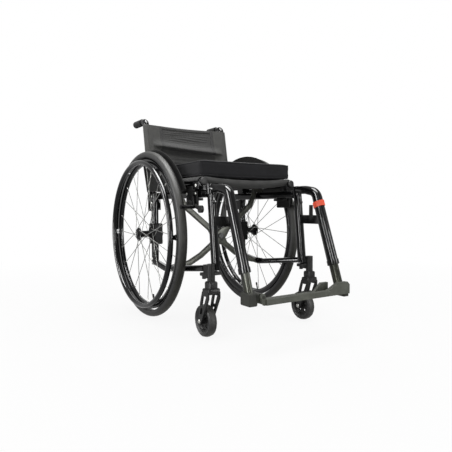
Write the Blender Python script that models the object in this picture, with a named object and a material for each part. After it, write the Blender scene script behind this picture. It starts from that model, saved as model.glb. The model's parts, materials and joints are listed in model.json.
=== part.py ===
"""A folding active wheelchair with swing-away hangers and one flip-up footplate.

Metres, +Z up, the occupant looks along -Y and the occupant's right is -X. Lengths along Y
are counted from the rear axle, and the whole chair hangs on an empty that centres it.
"""
import math

import bmesh
import bpy
from mathutils import Matrix, Vector

# Gap between neighbouring pieces, and the looser one where a piece turns or slides.
GAP = 0.0003
RUN_GAP = 0.001
# How far two forms of one piece run into each other
LAP = 0.004
EDGE_BEVEL = 0.003
ROUND_SIDES = 14
PIN_SIDES = 10
WHEEL_SIDES = 48
CASTER_SIDES = 20

# Rear wheels
TYRE_RADIUS = 0.302
TYRE_SECTION = 0.030
WHEEL_PLANE_X = 0.233
TYRE_SEAT_DEPTH = 0.0015
RIM_OUTER_RADIUS = TYRE_RADIUS - TYRE_SECTION + TYRE_SEAT_DEPTH
RIM_DEPTH = 0.0215
RIM_WIDTH = 0.021
HANDRIM_INSET = 0.0135
HANDRIM_RADIUS = RIM_OUTER_RADIUS - HANDRIM_INSET
HANDRIM_TUBE_RADIUS = 0.009
HANDRIM_STAND_OFF = 0.030
HANDRIM_TABS = 6
HANDRIM_TAB_WIDTH = 0.018
HANDRIM_TAB_THICKNESS = 0.006
HUB_RADIUS = 0.0145
HUB_FLANGE_RADIUS = 0.0245
HUB_FLANGE_THICKNESS = 0.004
HUB_SHOULDER = 0.004
HUB_END_STEP = 0.002
HUB_INNER_X = 0.2125
HUB_OUTER_X = 0.267
SPOKES_PER_FLANGE = 12
SPOKE_THICKNESS = 0.0022
SPOKE_LEAN = math.radians(62)
AXLE_RADIUS = 0.006
AXLE_INNER_X = 0.169
BUTTON_RADIUS = 0.008
BUTTON_LENGTH = 0.0048
BUTTON_TRAVEL = 0.003

# Side frame
POST_X = 0.1985
POST_WIDTH = 0.023
POST_DEPTH = 0.029
REAR_POST_BOTTOM_Z = 0.186
REAR_POST_TOP_Z = 0.450
TOP_RAIL_X = 0.1765
TOP_RAIL_WIDTH = 0.020
TOP_RAIL_HEIGHT = 0.026
TOP_RAIL_Z = 0.442
TOP_RAIL_REAR_Y = 0.058
LOWER_RAIL_WIDTH = 0.024
LOWER_RAIL_HEIGHT = 0.020
LOWER_RAIL_REAR_X = 0.2035
LOWER_RAIL_FRONT_X = 0.2000
LOWER_RAIL_REAR_Z = 0.197
LOWER_RAIL_BEND_Y = -0.108
LOWER_RAIL_BEND_Z = 0.182
LOWER_RAIL_BEND_RADIUS = 0.080
LOWER_RAIL_FRONT_Y = -0.372
LOWER_RAIL_FRONT_Z = 0.212
FRONT_POST_X = 0.1760
FRONT_POST_WIDTH = 0.022
FRONT_POST_DEPTH = 0.030
FRONT_POST_TOP_Y = -0.3705
FRONT_POST_TOP_Z = 0.4395
FRONT_POST_FOOT_Y = -0.394
FRONT_POST_FOOT_Z = 0.205
POST_KNOB_Z = 0.415
POST_KNOB_RADIUS = 0.005
POST_KNOB_HEIGHT = 0.005
AXLE_PLATE_HEIGHT = 0.077
AXLE_PLATE_DEPTH = 0.050
AXLE_PLATE_INNER_X = 0.178
AXLE_SLEEVE_RADIUS = 0.011
AXLE_SLEEVE_INNER_X = 0.1705
AXLE_HOLES_PITCH = 0.026
AXLE_HOLE_RADIUS = 0.004

# Side guard
GUARD_X = 0.209
GUARD_THICKNESS = 0.003
GUARD_TYRE_REACH = 0.006
GUARD_REAR_Y = 0.090
GUARD_REAR_LOW_Y = 0.043
GUARD_LOW_Z = 0.457
GUARD_TAB_WIDTH = 0.024
GUARD_TAB_LAP = 0.008
GUARD_FOOT_DROP = 0.006
GUARD_TABS_Y = (-0.215, 0.028)

# Back
BACK_TUBE_X = 0.175
BACK_TUBE_RADIUS = 0.011
BACK_FOOT_Y = 0.0725
BACK_FOOT_Z = 0.456
BACK_LEAN = math.radians(10.5)
BACK_TOP_Z = 0.741
BACK_BEND_RADIUS = 0.020
HANDLE_END_Y = 0.228
GRIP_END_WALL = 0.010
GRIP_CUT_LEAD = 0.010
GRIP_START_Y = 0.163
GRIP_RADIUS = 0.014
BACK_BLOCK_DEPTH = 0.032
BACK_BLOCK_WIDTH = 0.024
BACK_WEB_THICKNESS = 0.007
BACK_BLOCK_LOW_Z = 0.386
BACK_SLING_TOP_Z = 0.725
BACK_SLING_LOW_Z = 0.480
BACK_SLING_THICKNESS = 0.003
BACK_SLING_SAG = 0.020
BACK_FOLD_Z = 0.640
BACK_FOLD_DEPTH = 0.004
BACK_FOLD_SPREAD = 0.014

# Seat
SEAT_RAIL_X = 0.180
SEAT_RAIL_RADIUS = 0.0125
SEAT_RAIL_Z = 0.481
SEAT_RAIL_FRONT_Y = -0.331
SEAT_RAIL_REAR_Y = 0.030
SADDLES_Y = (-0.292, -0.020)
SADDLE_LENGTH = 0.036
SADDLE_WALL = 0.0045
SADDLE_DROP = 0.002
SADDLE_FOOT_SHARE = 0.7
SEAT_CLOTH_THICKNESS = 0.004
SEAT_CLOTH_SAG = 0.030
SEAT_CLOTH_FRONT_Y = -0.318
SEAT_CLOTH_REAR_Y = 0.024
CUSHION_HALF_WIDTH = 0.187
CUSHION_FRONT_Y = -0.322
CUSHION_REAR_Y = 0.062
CUSHION_EDGE_Z = 0.545
CUSHION_CROWN = 0.006
CUSHION_CROWN_RUN = 0.120
CUSHION_EDGE_INSET = 0.004
CUSHION_SIDE_DRAW = 0.004
CUSHION_CORNER_RADIUS = 0.026

# Scissor brace
BRACE_Y = -0.130
BRACE_PIVOT_X = 0.180
BRACE_PIVOT_Z = 0.190
BRACE_BOLT_Z = 0.294
BRACE_BOLT_RADIUS = 0.006
BRACE_BOLT_HEAD_RADIUS = 0.011
BRACE_BOLT_HEAD_LENGTH = 0.006
BRACE_NUT_RADIUS = 0.0095
ARM_THICKNESS = 0.0146
ARM_DEPTH = 0.021
ARM_FOOT_DEPTH = 0.017
ARM_HEAD_WIDTH = 0.018
ARM_CASTING_DEPTH = 0.042
ARM_CASTING_X = 0.014
ARM_CASTING_END_X = 0.034
ARM_BOW = 1.8
ARM_SLOPE = 0.80
ARM_ELBOW_SHARE = 0.88
ARM_EYE_RADIUS = 0.0105
LUG_PIN_RADIUS = 0.004
LUG_THICKNESS = 0.004
LUG_RADIUS = 0.012
SADDLE_WIDTH = 0.028

# Caster
CASTER_X = 0.200
CASTER_STEM_Y = -0.405
CASTER_TRAIL = 0.034
CASTER_RADIUS = 0.050
CASTER_WIDTH = 0.028
CASTER_HUB_RADIUS = 0.034
CASTER_HUB_WIDTH = 0.020
CASTER_BOSS_RADIUS = 0.010
CASTER_FLANGE = 0.004
CASTER_OPENING_RADIUS = 0.0062
CASTER_SPOKES = 5
CASTER_AXLE_RADIUS = 0.004
HOUSING_RADIUS = 0.012
HOUSING_LOW_Z = 0.176
HOUSING_HEIGHT = 0.052
HOUSING_BOLT_RADIUS = 0.0065
HOUSING_WEB_LIFT = 0.008
POST_FOOT_PLATE_DROP = 0.013
RAIL_BOSS_WIDTH = 0.020
RAIL_BOSS_LENGTH = 0.018
RAIL_BOSS_LOW = 0.024
RAIL_BOSS_HIGH = 0.0145
RAIL_BOLT_HEIGHT = 0.010
STEM_RADIUS = 0.005
STEM_LENGTH = 0.040
CROWN_WIDTH = 0.031
CROWN_HEIGHT = 0.025
LEG_THICKNESS = 0.006
LEG_CLEARANCE = 0.0025
LEG_SHOULDER_DROP = 0.020
LEG_RAKE_REACH = 0.012
LEG_RAKE_DROP = 0.034
BRIDGE_DROP = 0.014
LEG_TOP_DEPTH = 0.034
LEG_FOOT_DEPTH = 0.020
LEG_WALL = 0.006

# Hanger
HANGER_X = 0.174
HANGER_TOP_Z = 0.457
HANGER_TOP_DEPTH = 0.028
HANGER_TOP_BEND_RADIUS = 0.080
HANGER_TOP_RUN = 0.045
HANGER_WIDTH = 0.025
HANGER_DEPTH = 0.039
HANGER_KNEE_Y = -0.4635
HANGER_KNEE_Z = 0.4475
HANGER_KNEE_RADIUS = 0.032
HANGER_END_Y = -0.544
HANGER_END_Z = 0.213
HANGER_COLLAR_HEIGHT = 0.015
HANGER_COLLAR_WALL = 0.0015
HANGER_HEAD_RADIUS = 0.0145
EXTENSION_WIDTH = 0.019
EXTENSION_DEPTH = 0.033
EXTENSION_INSERT = 0.055
EXTENSION_END_Z = 0.145
LATCH_LOW_Z = 0.342
LATCH_HEIGHT = 0.029
LATCH_WIDTH = 0.018
LEVER_Y = -0.440
LEVER_HEIGHT = 0.040
LEVER_WIDTH = 0.010
LEVER_DEPTH = 0.009
LEVER_SLOT_DEPTH = 0.012
LEVER_FOOT_DEPTH = 0.006
LEVER_FOOT_RADIUS = 0.005
SLEEVE_HEIGHT = 0.018
SLEEVE_WALL = 0.0015
SLEEVE_TOP_Z = 0.416

# Footplate
PLATE_TOP_Z = 0.140
PLATE_THICKNESS = 0.0115
PLATE_LIP = 0.005
PLATE_SKIN = 0.005
PLATE_RIB = 0.004
PLATE_POCKETS = 4
PLATE_RIGHT_X = -0.141
PLATE_LEFT_X = 0.132
PLATE_REACH = 0.057
PLATE_DEPTH = 0.048
PLATE_STRIP_DEPTH = 0.015
PLATE_FRONT_Y = HANGER_END_Y - PLATE_REACH
PLATE_REAR_Y = PLATE_FRONT_Y + PLATE_DEPTH
PLATE_STRIP_Y = PLATE_FRONT_Y + PLATE_STRIP_DEPTH
PLATE_TIP_X = 0.186
PLATE_WALL_TOP_Z = 0.166
PLATE_WALL_START_X = 0.098
PLATE_WALL_TOP_X = 0.140
PLATE_CHEEK_X = 0.070
PLATE_CHEEK_TOP_X = 0.102
PLATE_CHEEK_END_X = 0.130
PLATE_CHEEK_TOP_Z = 0.164
PLATE_CHEEK_DEPTH = 0.010
PLATE_WALL_LAP = 0.012
PLATE_TIP_CORNER = 0.009
CLAMP_LOW_Z = 0.126
CLAMP_HIGH_Z = 0.163
CLAMP_WALL = 0.005
FLIP_PIN_X = -0.1485
FLIP_PIN_Z = 0.152
FLIP_PIN_RADIUS = 0.0045
FLIP_EAR_RADIUS = 0.0095
FLIP_EAR_THICKNESS = 0.008
FLIP_EAR_INSET = 0.004
FLIP_EAR_REACH = 0.006
REST_THICKNESS = 0.0085
REST_STEM_FRONT = 0.012
REST_STEM_REAR = 0.008
REST_STEM_LAP = 0.012
REST_INSET = 0.003
EXTENSION_CUT_LEAD = 0.010

# Brake
BRAKE_SHOE_CLEARANCE = 0.0143
BRAKE_SHOE_Z = 0.400
BRAKE_SHOE_RADIUS = 0.006
BRAKE_SHOE_REACH = TYRE_RADIUS + BRAKE_SHOE_CLEARANCE + BRAKE_SHOE_RADIUS
BRAKE_SHOE_Y = -math.sqrt(BRAKE_SHOE_REACH ** 2 - (BRAKE_SHOE_Z - TYRE_RADIUS) ** 2)
BRAKE_SHOE_THICKNESS = 0.004
BRAKE_SHOE_ARM_DEPTH = 0.014
BRAKE_SHOE_END_X = 0.250
BRAKE_SHOE_PIVOT_Y = BRAKE_SHOE_Y + 0.007
BRAKE_SHOE_PIVOT_Z = 0.438
BRAKE_FRONT_Y = BRAKE_SHOE_PIVOT_Y - 0.014
BRAKE_LENGTH = 0.074
BRAKE_REAR_Y = BRAKE_FRONT_Y + BRAKE_LENGTH
BRAKE_LOW_Z = 0.396
BRAKE_HIGH_Z = 0.452
BRAKE_PLATE_THICKNESS = 0.009
BRAKE_PIN_SPACING = 0.032
BRAKE_PIVOT_Y = BRAKE_SHOE_PIVOT_Y + BRAKE_PIN_SPACING
BRAKE_PIVOT_Z = 0.414
BRAKE_PIN_RADIUS = 0.0035
BRAKE_LEVER_LENGTH = 0.079
BRAKE_LEVER_END_Y = BRAKE_PIVOT_Y - BRAKE_LEVER_LENGTH
BRAKE_LEVER_END_Z = 0.393
BRAKE_LEVER_THICKNESS = 0.006
BRAKE_LEVER_KNOB_RADIUS = 0.012
BRAKE_LEVER_EYE_DEPTH = 0.016
BRAKE_LEVER_END_DEPTH = 0.012
BRAKE_LIP_HEIGHT = 0.008
BRAKE_LIP_INSET = 0.010
BRAKE_LINK_RADIUS = 0.008

# Half the difference between the reach to the front and the reach to the rear
AXLE_Y = (-PLATE_FRONT_Y - TYRE_RADIUS) / 2
X_AXIS = Vector((1, 0, 0))
Y_AXIS = Vector((0, 1, 0))


def clear_scene():
    for obj in list(bpy.data.objects):
        bpy.data.objects.remove(obj, do_unlink=True)


def finish_material(name, colour, roughness, metallic):
    material = bpy.data.materials.new(name)
    material.use_nodes = True
    shader = material.node_tree.nodes["Principled BSDF"]
    shader.inputs["Base Color"].default_value = (*colour, 1)
    shader.inputs["Roughness"].default_value = roughness
    shader.inputs["Metallic"].default_value = metallic
    material.diffuse_color = (*colour, 1)
    return material


def oval_point(angle, half_side, half_up, fullness):
    """A point of an oval, from an ellipse at fullness 2 to nearly a box at 8."""
    across = math.copysign(abs(math.cos(angle)) ** (2 / fullness), math.cos(angle))
    upward = math.copysign(abs(math.sin(angle)) ** (2 / fullness), math.sin(angle))
    return half_side * across, half_up * upward


def loft(stations, side, fullness=2.0, sides=ROUND_SIDES):
    """A solid through oval rings. A station is its centre and its half sizes along side and up."""
    solid = bmesh.new()
    centres = [Vector(station[0]) for station in stations]
    rings = []
    for index, (centre, half_side, half_up) in enumerate(stations):
        behind = centres[max(index - 1, 0)]
        ahead = centres[min(index + 1, len(centres) - 1)]
        along = (ahead - behind).normalized()
        up = along.cross(side).normalized()
        across = up.cross(along).normalized()
        ring = []
        for step in range(sides):
            right, above = oval_point(math.tau * step / sides, half_side, half_up, fullness)
            ring.append(solid.verts.new(Vector(centre) + across * right + up * above))
        rings.append(ring)
    for first, second in zip(rings, rings[1:]):
        for step in range(sides):
            after = (step + 1) % sides
            solid.faces.new((first[step], first[after], second[after], second[step]))
    solid.faces.new(rings[0])
    solid.faces.new(rings[-1])
    bmesh.ops.recalc_face_normals(solid, faces=solid.faces)
    return solid


def rod(start, end, radius, sides=ROUND_SIDES):
    start = Vector(start)
    end = Vector(end)
    side = X_AXIS if abs((end - start).normalized().x) < 0.5 else Y_AXIS
    return loft([(start, radius, radius), (end, radius, radius)], side, sides=sides)


def turned(profile, centre, sides=WHEEL_SIDES):
    """A ring about an X axis. The profile is a closed outline of (radius, x) points."""
    solid = bmesh.new()
    rings = []
    for step in range(sides):
        angle = math.tau * step / sides - math.pi / 2
        ring = []
        for radius, along in profile:
            place = Vector((along, radius * math.cos(angle), radius * math.sin(angle)))
            ring.append(solid.verts.new(place + Vector(centre)))
        rings.append(ring)
    points = len(profile)
    for step in range(sides):
        first = rings[step]
        second = rings[(step + 1) % sides]
        for index in range(points):
            after = (index + 1) % points
            solid.faces.new((first[index], first[after], second[after], second[index]))
    bmesh.ops.recalc_face_normals(solid, faces=solid.faces)
    return solid


def block(low, high, bevel=0.0):
    solid = bmesh.new()
    bmesh.ops.create_cube(solid, size=1)
    low = Vector(low)
    high = Vector(high)
    bmesh.ops.scale(solid, vec=high - low, verts=solid.verts)
    bmesh.ops.translate(solid, vec=(low + high) / 2, verts=solid.verts)
    if bevel:
        bmesh.ops.bevel(solid, geom=solid.edges, offset=bevel, segments=1, affect="EDGES")
    return solid


def slab(outline, axis, low, high):
    """An outline extruded along X, Y or Z. Its points are the two other coordinates in order."""
    solid = bmesh.new()
    order = {"x": (1, 2, 0), "y": (0, 2, 1), "z": (0, 1, 2)}[axis]
    ends = []
    for level in (low, high):
        ring = []
        for first, second in outline:
            place = Vector((0, 0, 0))
            place[order[0]] = first
            place[order[1]] = second
            place[order[2]] = level
            ring.append(solid.verts.new(place))
        ends.append(ring)
    count = len(outline)
    for index in range(count):
        after = (index + 1) % count
        solid.faces.new((ends[0][index], ends[0][after], ends[1][after], ends[1][index]))
    solid.faces.new(ends[0])
    solid.faces.new(ends[1])
    bmesh.ops.recalc_face_normals(solid, faces=solid.faces)
    return solid


def arc(centre, radius, start, end, steps):
    """Points of an arc in the plane, with angles in degrees."""
    points = []
    for step in range(steps + 1):
        angle = math.radians(start + (end - start) * step / steps)
        across = centre[0] + radius * math.cos(angle)
        above = centre[1] + radius * math.sin(angle)
        points.append((across, above))
    return points


def rounded_path(corners, radii, steps=6):
    """The corners of a path with each inner corner replaced by points of an arc."""
    points = [Vector(corners[0])]
    for before, corner, after, radius in zip(corners, corners[1:], corners[2:], radii):
        corner = Vector(corner)
        back = (Vector(before) - corner).normalized()
        ahead = (Vector(after) - corner).normalized()
        half = back.angle(ahead) / 2
        centre = corner + (back + ahead).normalized() * radius / math.sin(half)
        first = corner + back * radius / math.tan(half) - centre
        last = corner + ahead * radius / math.tan(half) - centre
        for step in range(steps + 1):
            turn = first.normalized().slerp(last.normalized(), step / steps)
            points.append(centre + turn * radius)
    points.append(Vector(corners[-1]))
    return points


def temporary_object(solid):
    mesh = bpy.data.meshes.new("temporary")
    solid.to_mesh(mesh)
    solid.free()
    obj = bpy.data.objects.new("temporary", mesh)
    bpy.context.scene.collection.objects.link(obj)
    return obj


def combine(base, others, operation):
    """The base solid after an exact Boolean with each of the others."""
    helpers = [temporary_object(solid) for solid in [base, *others]]
    for helper in helpers[1:]:
        modifier = helpers[0].modifiers.new("combine", "BOOLEAN")
        modifier.operation = operation
        modifier.object = helper
    graph = bpy.context.evaluated_depsgraph_get()
    result = bmesh.new()
    result.from_mesh(helpers[0].evaluated_get(graph).to_mesh())
    for helper in helpers:
        mesh = helper.data
        bpy.data.objects.remove(helper, do_unlink=True)
        bpy.data.meshes.remove(mesh)
    return result


def joined(base, *others):
    return combine(base, others, "UNION")


def cut(base, *others):
    return combine(base, others, "DIFFERENCE")


def add_piece(name, solid, material, pivot=(0, 0, 0), sign=1):
    """Adds the solid as an object whose origin is the pivot. Sign -1 mirrors it to the right."""
    if sign < 0:
        bmesh.ops.scale(solid, vec=(-1, 1, 1), verts=solid.verts)
        bmesh.ops.reverse_faces(solid, faces=solid.faces)
    pivot = Vector((pivot[0] * sign, pivot[1], pivot[2]))
    bmesh.ops.translate(solid, vec=-pivot, verts=solid.verts)
    mesh = bpy.data.meshes.new(name)
    solid.to_mesh(mesh)
    solid.free()
    mesh.shade_smooth()
    mesh.set_sharp_from_angle(angle=math.radians(35))
    mesh.materials.append(material)
    obj = bpy.data.objects.new(name, mesh)
    obj.parent = bpy.data.objects["chair_centre"]
    obj.location = pivot
    bpy.context.scene.collection.objects.link(obj)
    return obj


# Rear wheels

def rim_profile():
    half = RIM_WIDTH / 2
    inner = RIM_OUTER_RADIUS - RIM_DEPTH
    shoulder = inner + RIM_DEPTH * 0.35
    return [
        (RIM_OUTER_RADIUS, -half),
        (RIM_OUTER_RADIUS, half),
        (shoulder, half),
        (inner, half * 0.45),
        (inner, -half * 0.45),
        (shoulder, -half),
    ]


def tyre_profile():
    """A round section cut flat where it sits on the rim."""
    half = TYRE_SECTION / 2
    middle = TYRE_RADIUS - half
    seat = RIM_OUTER_RADIUS + GAP
    lowest = math.degrees(math.asin((middle - seat) / half))
    return arc((middle, 0), half, lowest - 180, 180 - lowest, 8)


def handrim():
    """The ring with its tabs, which end just short of the rim's side."""
    x = WHEEL_PLANE_X + HANDRIM_STAND_OFF
    centre = (0, 0, TYRE_RADIUS)
    ring = turned(arc((HANDRIM_RADIUS, x), HANDRIM_TUBE_RADIUS, 0, 360 * 6 / 7, 6), centre)
    half_width = HANDRIM_TAB_WIDTH / 2
    half_thickness = HANDRIM_TAB_THICKNESS / 2
    tabs = []
    for index in range(HANDRIM_TABS):
        angle = math.tau * (index + 0.5) / HANDRIM_TABS
        tab = block(
            (WHEEL_PLANE_X + RIM_WIDTH / 2 + GAP, -half_width, HANDRIM_RADIUS - half_thickness),
            (x - HANDRIM_TUBE_RADIUS * 0.5, half_width, HANDRIM_RADIUS + half_thickness),
        )
        bmesh.ops.rotate(tab, matrix=Matrix.Rotation(angle, 3, "X"), verts=tab.verts)
        bmesh.ops.translate(tab, vec=centre, verts=tab.verts)
        tabs.append(tab)
    return joined(ring, *tabs)


def spoke(flange_x, hub_angle, rim_angle):
    """One spoke, from the hub's flange to just short of the rim."""
    reach = RIM_OUTER_RADIUS - RIM_DEPTH - GAP - SPOKE_THICKNESS / 2
    start = (
        flange_x,
        HUB_FLANGE_RADIUS * 0.85 * math.cos(hub_angle),
        TYRE_RADIUS + HUB_FLANGE_RADIUS * 0.85 * math.sin(hub_angle),
    )
    end = (
        WHEEL_PLANE_X + (flange_x - WHEEL_PLANE_X) * 0.12,
        reach * math.cos(rim_angle),
        TYRE_RADIUS + reach * math.sin(rim_angle),
    )
    return rod(start, end, SPOKE_THICKNESS / 2, sides=3)


def wheel_hub():
    """The hub with two flanges and its crossed spokes, bored for the axle and its button."""
    centre = (0, 0, TYRE_RADIUS)
    bore = AXLE_RADIUS + GAP
    button_bore = BUTTON_RADIUS + GAP
    button_floor = HUB_OUTER_X - BUTTON_TRAVEL - GAP
    inner_flange = HUB_INNER_X + HUB_FLANGE_THICKNESS
    outer_flange = HUB_OUTER_X - HUB_END_STEP
    profile = [
        (bore, HUB_INNER_X),
        (HUB_FLANGE_RADIUS, HUB_INNER_X),
        (HUB_FLANGE_RADIUS, inner_flange),
        (HUB_RADIUS, inner_flange + HUB_SHOULDER),
        (HUB_RADIUS, outer_flange - HUB_FLANGE_THICKNESS - HUB_SHOULDER),
        (HUB_FLANGE_RADIUS, outer_flange - HUB_FLANGE_THICKNESS),
        (HUB_FLANGE_RADIUS, outer_flange),
        (HUB_RADIUS, HUB_OUTER_X),
        (button_bore, HUB_OUTER_X),
        (button_bore, button_floor),
        (bore, button_floor),
    ]
    hub = turned(profile, centre, sides=ROUND_SIDES)
    spokes = []
    pitch = math.tau / SPOKES_PER_FLANGE
    flanges = (
        (inner_flange, 0.0),
        (outer_flange - HUB_FLANGE_THICKNESS, pitch / 2),
    )
    for flange_x, shift in flanges:
        for index in range(SPOKES_PER_FLANGE):
            lean = 1 if index % 2 else -1
            rim_angle = pitch * index + shift
            step = SPOKE_THICKNESS * 0.6 * lean
            hub_angle = rim_angle + lean * SPOKE_LEAN
            spokes.append(spoke(flange_x + step, hub_angle, rim_angle))
    return joined(hub, *spokes)


def along_axle(radius, low_x, high_x):
    """A rod on the rear axle's line."""
    place = (low_x, 0, TYRE_RADIUS)
    return rod(place, (high_x, 0, TYRE_RADIUS), radius)


def add_rear_wheel(side, sign, looks):
    centre = (WHEEL_PLANE_X, 0, TYRE_RADIUS)
    tyre = turned(tyre_profile(), centre)
    rim = turned(rim_profile(), centre)
    button_floor = HUB_OUTER_X - BUTTON_TRAVEL - GAP
    axle = along_axle(AXLE_RADIUS, AXLE_INNER_X, button_floor - GAP)
    button = along_axle(BUTTON_RADIUS, HUB_OUTER_X, HUB_OUTER_X + BUTTON_LENGTH)
    add_piece(f"tyre_{side}", tyre, looks["tyre"], centre, sign)
    add_piece(f"wheel_rim_{side}", rim, looks["black_alloy"], centre, sign)
    add_piece(f"wheel_hub_{side}", wheel_hub(), looks["spokes"], centre, sign)
    add_piece(f"handrim_{side}", handrim(), looks["black_alloy"], centre, sign)
    add_piece(f"wheel_axle_{side}", axle, looks["steel"], centre, sign)
    add_piece(f"axle_button_{side}", button, looks["steel"], centre, sign)


# Side frame

def rear_post():
    half_width = POST_WIDTH / 2
    half_depth = POST_DEPTH / 2
    stations = [
        ((POST_X, 0, REAR_POST_BOTTOM_Z), half_width, half_depth),
        ((POST_X, 0, REAR_POST_TOP_Z), half_width, half_depth),
    ]
    post = loft(stations, X_AXIS, 3.0)
    bore = along_axle(AXLE_RADIUS + GAP, POST_X - POST_WIDTH, POST_X + POST_WIDTH)
    return cut(post, bore)


def top_rail_front_y():
    """Where the top rail stops, clear of the hanger's head, which turns about the leaning post."""
    return post_axis_y(TOP_RAIL_Z + TOP_RAIL_HEIGHT / 2) + HANGER_HEAD_RADIUS + RUN_GAP


def top_rail():
    """The rail with two saddles on top, which hold the seat rail while the chair stands open."""
    front_y = top_rail_front_y()
    half_width = TOP_RAIL_WIDTH / 2
    half_height = TOP_RAIL_HEIGHT / 2
    stations = [
        ((TOP_RAIL_X, TOP_RAIL_REAR_Y, TOP_RAIL_Z), half_width, half_height),
        ((TOP_RAIL_X, front_y, TOP_RAIL_Z), half_width, half_height),
    ]
    rail = loft(stations, X_AXIS, 3.0)
    return joined(rail, *[saddle(y) for y in SADDLES_Y])


def saddle(rear_y):
    """A cradle open at its top, so that the seat rail lifts out of it as the chair folds."""
    hold = SEAT_RAIL_RADIUS + GAP
    lean = math.degrees(math.asin(SADDLE_DROP / hold))
    half_width = hold + SADDLE_WALL
    rail_top = TOP_RAIL_Z + TOP_RAIL_HEIGHT / 2
    foot = TOP_RAIL_WIDTH * SADDLE_FOOT_SHARE / 2
    outline = [
        (TOP_RAIL_X - foot, rail_top - LAP),
        (TOP_RAIL_X + foot, rail_top - LAP),
        (TOP_RAIL_X + foot, rail_top + RUN_GAP),
        (SEAT_RAIL_X + half_width, rail_top + RUN_GAP),
        (SEAT_RAIL_X + half_width, SEAT_RAIL_Z - SADDLE_DROP),
    ]
    outline += arc((SEAT_RAIL_X, SEAT_RAIL_Z), hold, -lean, lean - 180, 8)
    outline.append((SEAT_RAIL_X - half_width, SEAT_RAIL_Z - SADDLE_DROP))
    outline.append((SEAT_RAIL_X - half_width, rail_top + RUN_GAP))
    outline.append((TOP_RAIL_X - foot, rail_top + RUN_GAP))
    return slab(outline, "y", rear_y - SADDLE_LENGTH, rear_y)


def lower_rail_path():
    rear = (LOWER_RAIL_REAR_X, -POST_DEPTH / 2 - RUN_GAP * 2, LOWER_RAIL_REAR_Z)
    bend = (LOWER_RAIL_REAR_X, LOWER_RAIL_BEND_Y, LOWER_RAIL_BEND_Z)
    front = (LOWER_RAIL_FRONT_X, LOWER_RAIL_FRONT_Y, LOWER_RAIL_FRONT_Z)
    return rounded_path([rear, bend, front], [LOWER_RAIL_BEND_RADIUS], steps=4)


def arm_layer(arm):
    """The low and high Y of the front arm, or of the rear arm behind it."""
    near = BRACE_Y - GAP if arm == "front" else BRACE_Y + GAP
    far = near - ARM_THICKNESS if arm == "front" else near + ARM_THICKNESS
    return min(near, far), max(near, far)


def lower_rail(arm):
    """The rail with the two ears and the pin that the brace arm's lower end turns on."""
    half_width = LOWER_RAIL_WIDTH / 2
    half_height = LOWER_RAIL_HEIGHT / 2
    stations = [(point, half_width, half_height) for point in lower_rail_path()]
    rail = loft(stations, X_AXIS, 3.0)
    low_y, high_y = arm_layer(arm)
    outline = arc((BRACE_PIVOT_X, BRACE_PIVOT_Z), LUG_RADIUS * 0.75, 90, 270, 6)
    outline.append((LOWER_RAIL_REAR_X, BRACE_PIVOT_Z - LUG_RADIUS * 0.55))
    outline.append((LOWER_RAIL_REAR_X, BRACE_PIVOT_Z + LUG_RADIUS * 0.55))
    rear_ear = slab(outline, "y", high_y + GAP, high_y + GAP + LUG_THICKNESS)
    front_ear = slab(outline, "y", low_y - GAP - LUG_THICKNESS, low_y - GAP)
    pin = rod(
        (BRACE_PIVOT_X, low_y - LUG_THICKNESS * 1.5, BRACE_PIVOT_Z),
        (BRACE_PIVOT_X, high_y + LUG_THICKNESS * 1.5, BRACE_PIVOT_Z),
        LUG_PIN_RADIUS,
        PIN_SIDES,
    )
    return joined(rail, rear_ear, front_ear, pin)


def front_post():
    half_width = FRONT_POST_WIDTH / 2
    half_depth = FRONT_POST_DEPTH / 2
    top = (FRONT_POST_X, FRONT_POST_TOP_Y, FRONT_POST_TOP_Z)
    foot = (FRONT_POST_X, FRONT_POST_FOOT_Y, FRONT_POST_FOOT_Z)
    post = loft([(foot, half_width, half_depth), (top, half_width, half_depth)], X_AXIS, 3.0)
    rail_end_y = top_rail_front_y()
    room_low_z = TOP_RAIL_Z - TOP_RAIL_HEIGHT / 2 - GAP
    room_high_z = FRONT_POST_TOP_Z + TOP_RAIL_HEIGHT
    room = block(
        (FRONT_POST_X - FRONT_POST_WIDTH, rail_end_y - GAP, room_low_z),
        (FRONT_POST_X + FRONT_POST_WIDTH, rail_end_y + FRONT_POST_DEPTH, room_high_z),
    )
    knob_y = post_axis_y(POST_KNOB_Z) - half_depth
    knob = rod(
        (FRONT_POST_X, knob_y + POST_KNOB_HEIGHT, POST_KNOB_Z),
        (FRONT_POST_X, knob_y - POST_KNOB_HEIGHT, POST_KNOB_Z),
        POST_KNOB_RADIUS,
        PIN_SIDES,
    )
    return joined(cut(post, room), knob)


def post_axis():
    rise = FRONT_POST_TOP_Z - FRONT_POST_FOOT_Z
    return Vector((0, FRONT_POST_TOP_Y - FRONT_POST_FOOT_Y, rise)).normalized()


def post_axis_y(z):
    rise = (z - FRONT_POST_FOOT_Z) / (FRONT_POST_TOP_Z - FRONT_POST_FOOT_Z)
    return FRONT_POST_FOOT_Y + (FRONT_POST_TOP_Y - FRONT_POST_FOOT_Y) * rise


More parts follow.
